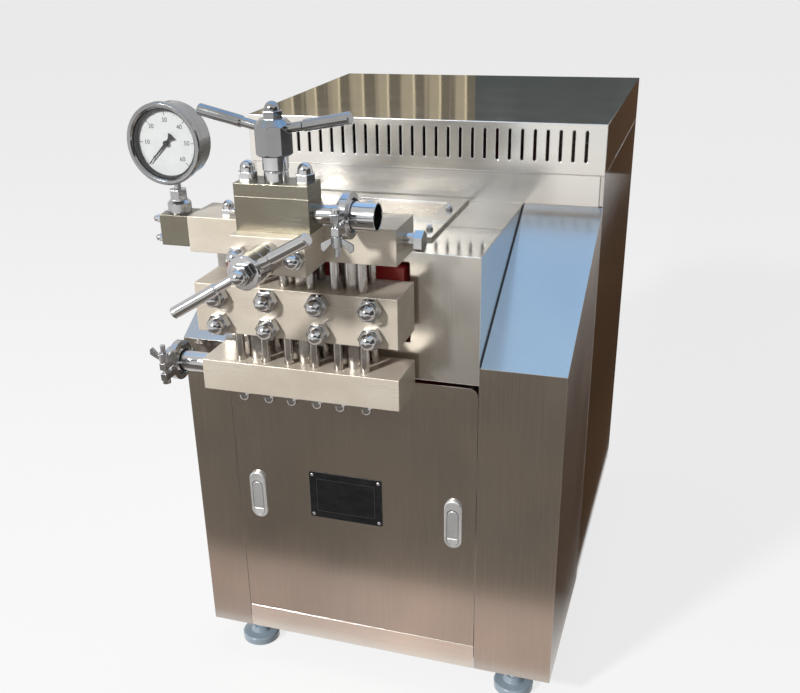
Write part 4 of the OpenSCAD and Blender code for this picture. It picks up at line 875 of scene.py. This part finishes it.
class HOMOGENIZER_OT_gauge(Operator):
    """Makes the gauge's dial, scale and numbers, and finishes its glass and needle"""

    bl_idname = "homogenizer.gauge"
    bl_label = "Gauge"

    # Bezel's front to the dial
    dial_in = 0.013
    # Glass edge to the dial's edge
    rim = 0.0009
    # Radius of the hole round the needle's pin
    pin_hole = 0.0026
    # Thickness of the dial and of its print
    dial_t = 0.0005
    print_t = 0.00012
    # Widths of the numbered marks, the fine marks and half the arc
    mark_w = 0.0009
    fine_w = 0.00045
    half_arc = 0.0003
    # Shares of the dial's radius: the arc, the numbers, and the long, middle and short marks
    arc_share = 0.93
    number_share = 0.65
    mark_shares = (0.14, 0.1, 0.06)
    # Seal: width, cut at its front, and shares of the depth where it ends and the cut starts
    seal_w = 0.0022
    seal_cut = 0.0008
    seal_end = 0.96
    cut_start = 0.8
    # Font size for the height of a digit
    font_share = 1.4
    glass_grey = (0.3, 0.3, 0.3, 1.0)

    def execute(self, context):
        colours = context.scene.homogenizer_finish
        trim = context.scene.homogenizer_trim
        low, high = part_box("gauge_case")
        self.x, self.z = (low.x + high.x) / 2, (low.z + high.z) / 2
        self.y = low.y + self.dial_in
        glass_low, glass_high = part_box("gauge_glass")
        self.radius = (glass_high.x - glass_low.x) / 2 - self.rim
        ink = speckled("black_ink", colours.black, 500.0, (1.0, 1.8), (0.38, 0.55), detail=2.0)
        self.dial(colours.dial)
        self.scale(trim, ink)
        self.numbers(trim, ink)
        self.seal(colours.black)
        dress(("gauge_needle",), ink)
        dress(("gauge_glass",), self.glass())
        return {"FINISHED"}

    def glass(self):
        """Thin clear glass with faint dust."""
        finish = Finish("gauge_glass", alpha=0.05)
        finish.shader.inputs["Base Color"].default_value = self.glass_grey
        dust = finish.noise(90.0, detail=6.0)
        finish.feed("Roughness", finish.spread(dust, 0.02, 0.08, 0.5, 0.8))
        return finish

    def dial(self, colour):
        """White enamel disc with a hole for the needle's pin."""
        finish = speckled("dial_enamel", colour, 60.0, (0.96, 1.02), (0.34, 0.46), detail=4.0)
        bm = bmesh.new()
        place = facing_front(self.x, self.y, self.z)
        outer, inner = self.radius, self.pin_hole
        profile = [(inner, 0.0), (outer, 0.0), (outer, self.dial_t), (inner, self.dial_t), (inner, 0.0)]
        add_turned(bm, profile, place, around=96)
        bmesh.ops.remove_doubles(bm, verts=bm.verts, dist=1e-6)
        new_piece("gauge_dial", bm, finish, "machine")

    def angle(self, trim, share):
        """Angle from straight up, clockwise, of a share of the scale."""
        return (share - 0.5) * trim.dial_sweep

    def scale(self, trim, ink):
        """Fine and numbered marks and the thin arc that joins them."""
        bm = bmesh.new()
        place = facing_front(self.x, self.y - self.dial_t, self.z)
        count = trim.dial_steps * trim.dial_parts
        long, middle, short = (self.radius * share for share in self.mark_shares)
        outer = self.radius * self.arc_share
        for i in range(count + 1):
            numbered = i % trim.dial_parts == 0
            half = i % (trim.dial_parts // 2) == 0
            length = long if numbered else middle if half else short
            width = self.mark_w if numbered else self.fine_w
            turn = Matrix.Rotation(-self.angle(trim, i / count), 4, "Z")
            spot = Matrix.Translation((0.0, outer - length / 2, 0.0))
            x, y = width / 2, length / 2
            mark = [(x, y), (-x, y), (-x, -y), (x, -y)]
            add_skin(bm, [(mark, 0.0), (mark, self.print_t)], place @ turn @ spot)
        steps = 96
        inside, outside = outer - self.half_arc, outer + self.half_arc
        section = ((inside, 0.0), (outside, 0.0), (outside, self.print_t), (inside, self.print_t))
        arc = []
        for i in range(steps + 1):
            a = self.angle(trim, i / steps)
            arc.append([place @ Vector((r * math.sin(a), r * math.cos(a), z)) for r, z in section])
        add_loft(bm, arc)
        bmesh.ops.recalc_face_normals(bm, faces=bm.faces)
        new_piece("gauge_scale", bm, ink, "machine")

    def numbers(self, trim, ink):
        """Plain numbers inside the scale."""
        bm = bmesh.new()
        for i in range(trim.dial_steps + 1):
            text = bpy.data.curves.new("number", "FONT")
            text.body = str(i * trim.dial_step_value)
            text.size = trim.digit_h * self.font_share
            text.extrude = self.print_t / 2
            text.align_x, text.align_y = "CENTER", "CENTER"
            holder = bpy.data.objects.new("number", text)
            bpy.context.scene.collection.objects.link(holder)
            bpy.context.view_layer.update()
            graph = bpy.context.evaluated_depsgraph_get()
            mesh = bpy.data.meshes.new_from_object(holder.evaluated_get(graph))
            a, r = self.angle(trim, i / trim.dial_steps), self.radius * self.number_share
            front = self.y - self.dial_t - self.print_t / 2
            mesh.transform(facing_front(self.x + r * math.sin(a), front, self.z + r * math.cos(a)))
            bm.from_mesh(mesh)
            bpy.data.objects.remove(holder)
            bpy.data.curves.remove(text)
            bpy.data.meshes.remove(mesh)
        bmesh.ops.remove_doubles(bm, verts=bm.verts, dist=1e-7)
        new_piece("gauge_numbers", bm, ink, "machine")

    def seal(self, colour):
        """Black seal ring between the dial's edge and the glass."""
        finish = speckled("seal_rubber", colour, 300.0, (1.0, 2.2), (0.4, 0.6))
        glass_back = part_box("gauge_glass")[1].y
        reach = self.y - self.dial_t - glass_back
        outer, inner = self.radius, self.radius - self.seal_w
        end, cut = reach * self.seal_end, reach * self.cut_start
        bm = bmesh.new()
        profile = [
            (inner, 0.0), (outer, 0.0), (outer, end),
            (inner + self.seal_cut, end), (inner, cut), (inner, 0.0),
        ]
        add_turned(bm, profile, facing_front(self.x, self.y - self.dial_t, self.z), around=96)
        bmesh.ops.remove_doubles(bm, verts=bm.verts, dist=1e-6)
        smooth(new_piece("gauge_seal", bm, finish, "machine"))


class HOMOGENIZER_OT_name_plate(Operator):
    """Makes the bare black plate and its four rivets on the front panel"""

    bl_idname = "homogenizer.name_plate"
    bl_label = "Name plate"

    # Rounding of the plate's edge, and the pale colour of that edge, a painted highlight
    cut = 0.0003
    bare = (0.4, 0.39, 0.36, 1.0)
    # Frame line: distance to the plate's edge, width, height and corner radius
    line_inset = 0.0125
    line_w = 0.0007
    line_rise = 0.00015
    line_corner = 0.002
    # Height of a rivet's dome for its radius
    dome_share = 0.55

    def execute(self, context):
        colours = context.scene.homogenizer_finish
        trim = context.scene.homogenizer_trim
        low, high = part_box("front_panel")
        x, z = (low.x + high.x) / 2 - trim.plate_left, (low.z + high.z) / 2 + trim.plate_rise
        centre = facing_front(x, low.y, z)
        self.plate(trim, colours.black, centre)
        self.line(trim, colours.black, centre)
        self.rivets(trim, colours.polished, centre)
        return {"FINISHED"}

    def plate(self, trim, colour, centre):
        """Bare black plate with its edge painted pale as a highlight."""
        finish = Finish("plate_black", specular_ior_level=0.1)
        scuffs = finish.noise(120.0, (0.4, 1.0, 1.0), detail=6.0)
        normal, edges = finish.soft_edges(0.0008)
        base = finish.dapple(scuffs, colour, 1.0, 1.6)
        # Painted highlight: the plate's edges are drawn pale grey.
        finish.feed("Base Color", finish.blend(edges, base, self.bare))
        finish.feed("Roughness", finish.spread(scuffs, 0.4, 0.6))
        finish.bump(scuffs, 0.05, 0.0003, normal)
        bm = bmesh.new()
        outline = rounded_outline(trim.plate_w, trim.plate_h, trim.plate_corner)
        cut = self.cut
        face = rounded_outline(trim.plate_w - 2 * cut, trim.plate_h - 2 * cut, trim.plate_corner - cut)
        add_skin(bm, [(outline, 0.0), (outline, trim.plate_t - cut), (face, trim.plate_t)], centre)
        new_piece("name_plate", bm, finish, "front_panel")

    def line(self, trim, colour, centre):
        """Thin raised frame line inside the plate's edge."""
        finish = speckled("plate_line", colour, 300.0, (5.0, 9.0), (0.35, 0.5), detail=4.0, metallic=0.6)
        sides = []
        for gap in (self.line_inset, self.line_inset + self.line_w):
            sides.append(rounded_outline(trim.plate_w - 2 * gap, trim.plate_h - 2 * gap, self.line_corner))
        outer, inner = sides
        rise = self.line_rise
        bm = bmesh.new()
        rings = [
            [bm.verts.new(centre @ Vector((x, y, trim.plate_t + z))) for x, y in side]
            for side, z in ((outer, 0.0), (outer, rise), (inner, rise), (inner, 0.0))
        ]
        join_rings(bm, [*rings, rings[0]])
        bmesh.ops.recalc_face_normals(bm, faces=bm.faces)
        new_piece("name_plate_line", bm, finish, "front_panel")

    def rivets(self, trim, colour, centre):
        """Four domed rivets in the plate's corners."""
        finish = polished("rivet_steel", colour, 0.2, edge_r=0.0004)
        bm = bmesh.new()
        r = trim.rivet_d / 2
        rise = r * self.dome_share
        turns = [math.pi / 2 * i / 6 for i in range(6)]
        dome = [(r * math.cos(a), rise * math.sin(a)) for a in turns]
        for sx in (-1, 1):
            for sy in (-1, 1):
                x = sx * (trim.plate_w / 2 - trim.rivet_inset)
                y = sy * (trim.plate_h / 2 - trim.rivet_inset)
                spot = centre @ Matrix.Translation((x, y, trim.plate_t))
                add_turned(bm, [(0.0, 0.0), *dome, (0.0, rise)], spot, around=20)
        smooth(new_piece("plate_rivets", bm, finish, "front_panel"))


class HOMOGENIZER_OT_lid_screws(Operator):
    """Makes the two small screws along the lid's front edge"""

    bl_idname = "homogenizer.lid_screws"
    bl_label = "Lid screws"

    # Screw centre to the lid's side and to its front edge
    side_inset = 0.018
    front_inset = 0.0108
    # Profile of a head, as shares of its radius and heights
    head = ((0.0, 0.0), (1.0, 0.0), (1.0, 0.0009), (0.8, 0.0016), (0.0, 0.0018))

    def execute(self, context):
        colours = context.scene.homogenizer_finish
        trim = context.scene.homogenizer_trim
        low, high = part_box("inspection_lid")
        finish = polished("screw_steel", tint(colours.polished, 0.8), 0.22, edge_r=0.0004)
        bm = bmesh.new()
        head = [(trim.screw_d / 2 * share, height) for share, height in self.head]
        for x in (low.x + self.side_inset, high.x - self.side_inset):
            place = Matrix.Translation((x, low.y + self.front_inset, high.z))
            add_turned(bm, head, place, around=24)
        smooth(new_piece("lid_screws", bm, finish, "machine"))
        return {"FINISHED"}


class HOMOGENIZER_OT_cover_seams(Operator):
    """Lays the dark sealing beads beside the cover and the fine joint across its top"""

    bl_idname = "homogenizer.cover_seams"
    bl_label = "Cover seams"

    # Width and height of a bead and of the joint
    bead = (0.002, 0.0008)
    joint = (0.0006, 0.00015)
    # Share of the cover's depth where the joint runs
    joint_share = 0.47
    # How near to a column's front a point counts as on it
    near = 0.0005

    def execute(self, context):
        black = context.scene.homogenizer_finish.black
        finish = speckled("seam_sealer", black, 400.0, (1.5, 3.5), (0.42, 0.6))
        low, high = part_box("crankcase_cover")
        bm = bmesh.new()
        half = self.bead[0] / 2
        for side, x in (("left_column", low.x - half), ("right_column", high.x + half)):
            front, back = self.slope(side)
            self.strip(bm, Vector((x, *front)), Vector((x, *back)), self.bead)
        y = low.y + (high.y - low.y) * self.joint_share
        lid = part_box("inspection_lid")
        for start, end in ((low.x, lid[0].x), (lid[1].x, high.x)):
            self.strip(bm, Vector((start, y, high.z)), Vector((end, y, high.z)), self.joint)
        new_piece("cover_seams", bm, finish, "machine")
        return {"FINISHED"}

    def slope(self, column):
        """Front and back end of a column's slope, as depth and height."""
        low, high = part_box(column)
        spots = [vert.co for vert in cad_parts[column].data.vertices]
        front = max(spot.z for spot in spots if spot.y < low.y + self.near)
        return (low.y, front), (high.y, high.z)

    def strip(self, bm, start, end, size):
        """A low bar that lies on the line from start to end."""
        width, rise = size
        along = (end - start).normalized()
        across = along.cross(Vector((0.0, 0.0, 1.0))).normalized() * width / 2
        up = across.cross(along).normalized() * rise
        section = (-across, across, across + up, up - across)
        add_loft(bm, [[spot + corner for corner in section] for spot in (start, end)])
        bmesh.ops.recalc_face_normals(bm, faces=bm.faces)


class HOMOGENIZER_OT_foot_threads(Operator):
    """Winds the threads round the stems of the levelling feet"""

    bl_idname = "homogenizer.foot_threads"
    bl_label = "Foot threads"

    # Shares of the foot's height where the thread starts and ends
    start, end = 0.345, 0.592
    # Radius of a pad, of a stem and height of the thread's ridge
    pad = 0.034
    stem = 0.008
    ridge = 0.0007
    # Depth of the thread's root in the stem, and half its width for a pitch of 1
    root = 0.0002
    half_share = 0.42
    # Steps in a turn
    steps = 24

    def execute(self, context):
        colours = context.scene.homogenizer_finish
        trim = context.scene.homogenizer_trim
        low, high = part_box("feet")
        finish = polished("thread_steel", tint(colours.foot, 1.4), 0.3, edge_r=0.0003)
        span = high.z - low.z
        foot, top = low.z + span * self.start, low.z + span * self.end
        bm = bmesh.new()
        for x in (low.x + self.pad, high.x - self.pad):
            for y in (low.y + self.pad, high.y - self.pad):
                self.wind(bm, x, y, foot, top, trim.thread_pitch)
        smooth(new_piece("foot_threads", bm, finish, "machine"), 60.0)
        return {"FINISHED"}

    def wind(self, bm, x, y, foot, top, pitch):
        """One thread, as a ridge that winds up a stem."""
        count = int((top - foot) / pitch * self.steps)
        half = pitch * self.half_share
        root, tip = self.stem - self.root, self.stem + self.ridge
        section = ((root, half), (tip, 0.0), (root, -half))
        rings = []
        for i in range(count + 1):
            a = 2 * math.pi * i / self.steps
            z = foot + pitch * i / self.steps
            rings.append([(x + r * math.cos(a), y + r * math.sin(a), z + dz) for r, dz in section])
        add_loft(bm, rings)


class HOMOGENIZER_PT_panel(Panel):
    """Lists the pieces of the homogenizer"""

    bl_idname = "HOMOGENIZER_PT_panel"
    bl_label = "Homogenizer"
    bl_space_type = "VIEW_3D"
    bl_region_type = "UI"
    bl_category = "Homogenizer"

    def draw(self, context):
        for operator in STEPS:
            self.layout.operator(operator.bl_idname)
        for group in GROUPS:
            settings = getattr(context.scene, group)
            box = self.layout.box()
            for name in settings.__annotations__:
                box.prop(settings, name)


GROUPS = {
    "homogenizer_studio": StudioSettings,
    "homogenizer_finish": FinishSettings,
    "homogenizer_trim": TrimSettings,
}
STEPS = (
    HOMOGENIZER_OT_camera, HOMOGENIZER_OT_stage, HOMOGENIZER_OT_cabinet, HOMOGENIZER_OT_pump_head,
    HOMOGENIZER_OT_drive, HOMOGENIZER_OT_latches, HOMOGENIZER_OT_gauge, HOMOGENIZER_OT_name_plate,
    HOMOGENIZER_OT_lid_screws, HOMOGENIZER_OT_cover_seams, HOMOGENIZER_OT_foot_threads,
)
CLASSES = (*GROUPS.values(), *STEPS, HOMOGENIZER_PT_panel)


def register():
    for item in CLASSES:
        bpy.utils.register_class(item)
    for name, group in GROUPS.items():
        setattr(bpy.types.Scene, name, PointerProperty(type=group))


def unregister():
    for name in GROUPS:
        delattr(bpy.types.Scene, name)
    for item in reversed(CLASSES):
        bpy.utils.unregister_class(item)


def main():
    register()
    bpy.ops.homogenizer.camera()
    bpy.ops.homogenizer.stage()
    bpy.ops.homogenizer.cabinet()
    bpy.ops.homogenizer.pump_head()
    bpy.ops.homogenizer.drive()
    bpy.ops.homogenizer.latches()
    bpy.ops.homogenizer.gauge()
    bpy.ops.homogenizer.name_plate()
    bpy.ops.homogenizer.lid_screws()
    bpy.ops.homogenizer.cover_seams()
    bpy.ops.homogenizer.foot_threads()


if __name__ == "__main__":
    main()
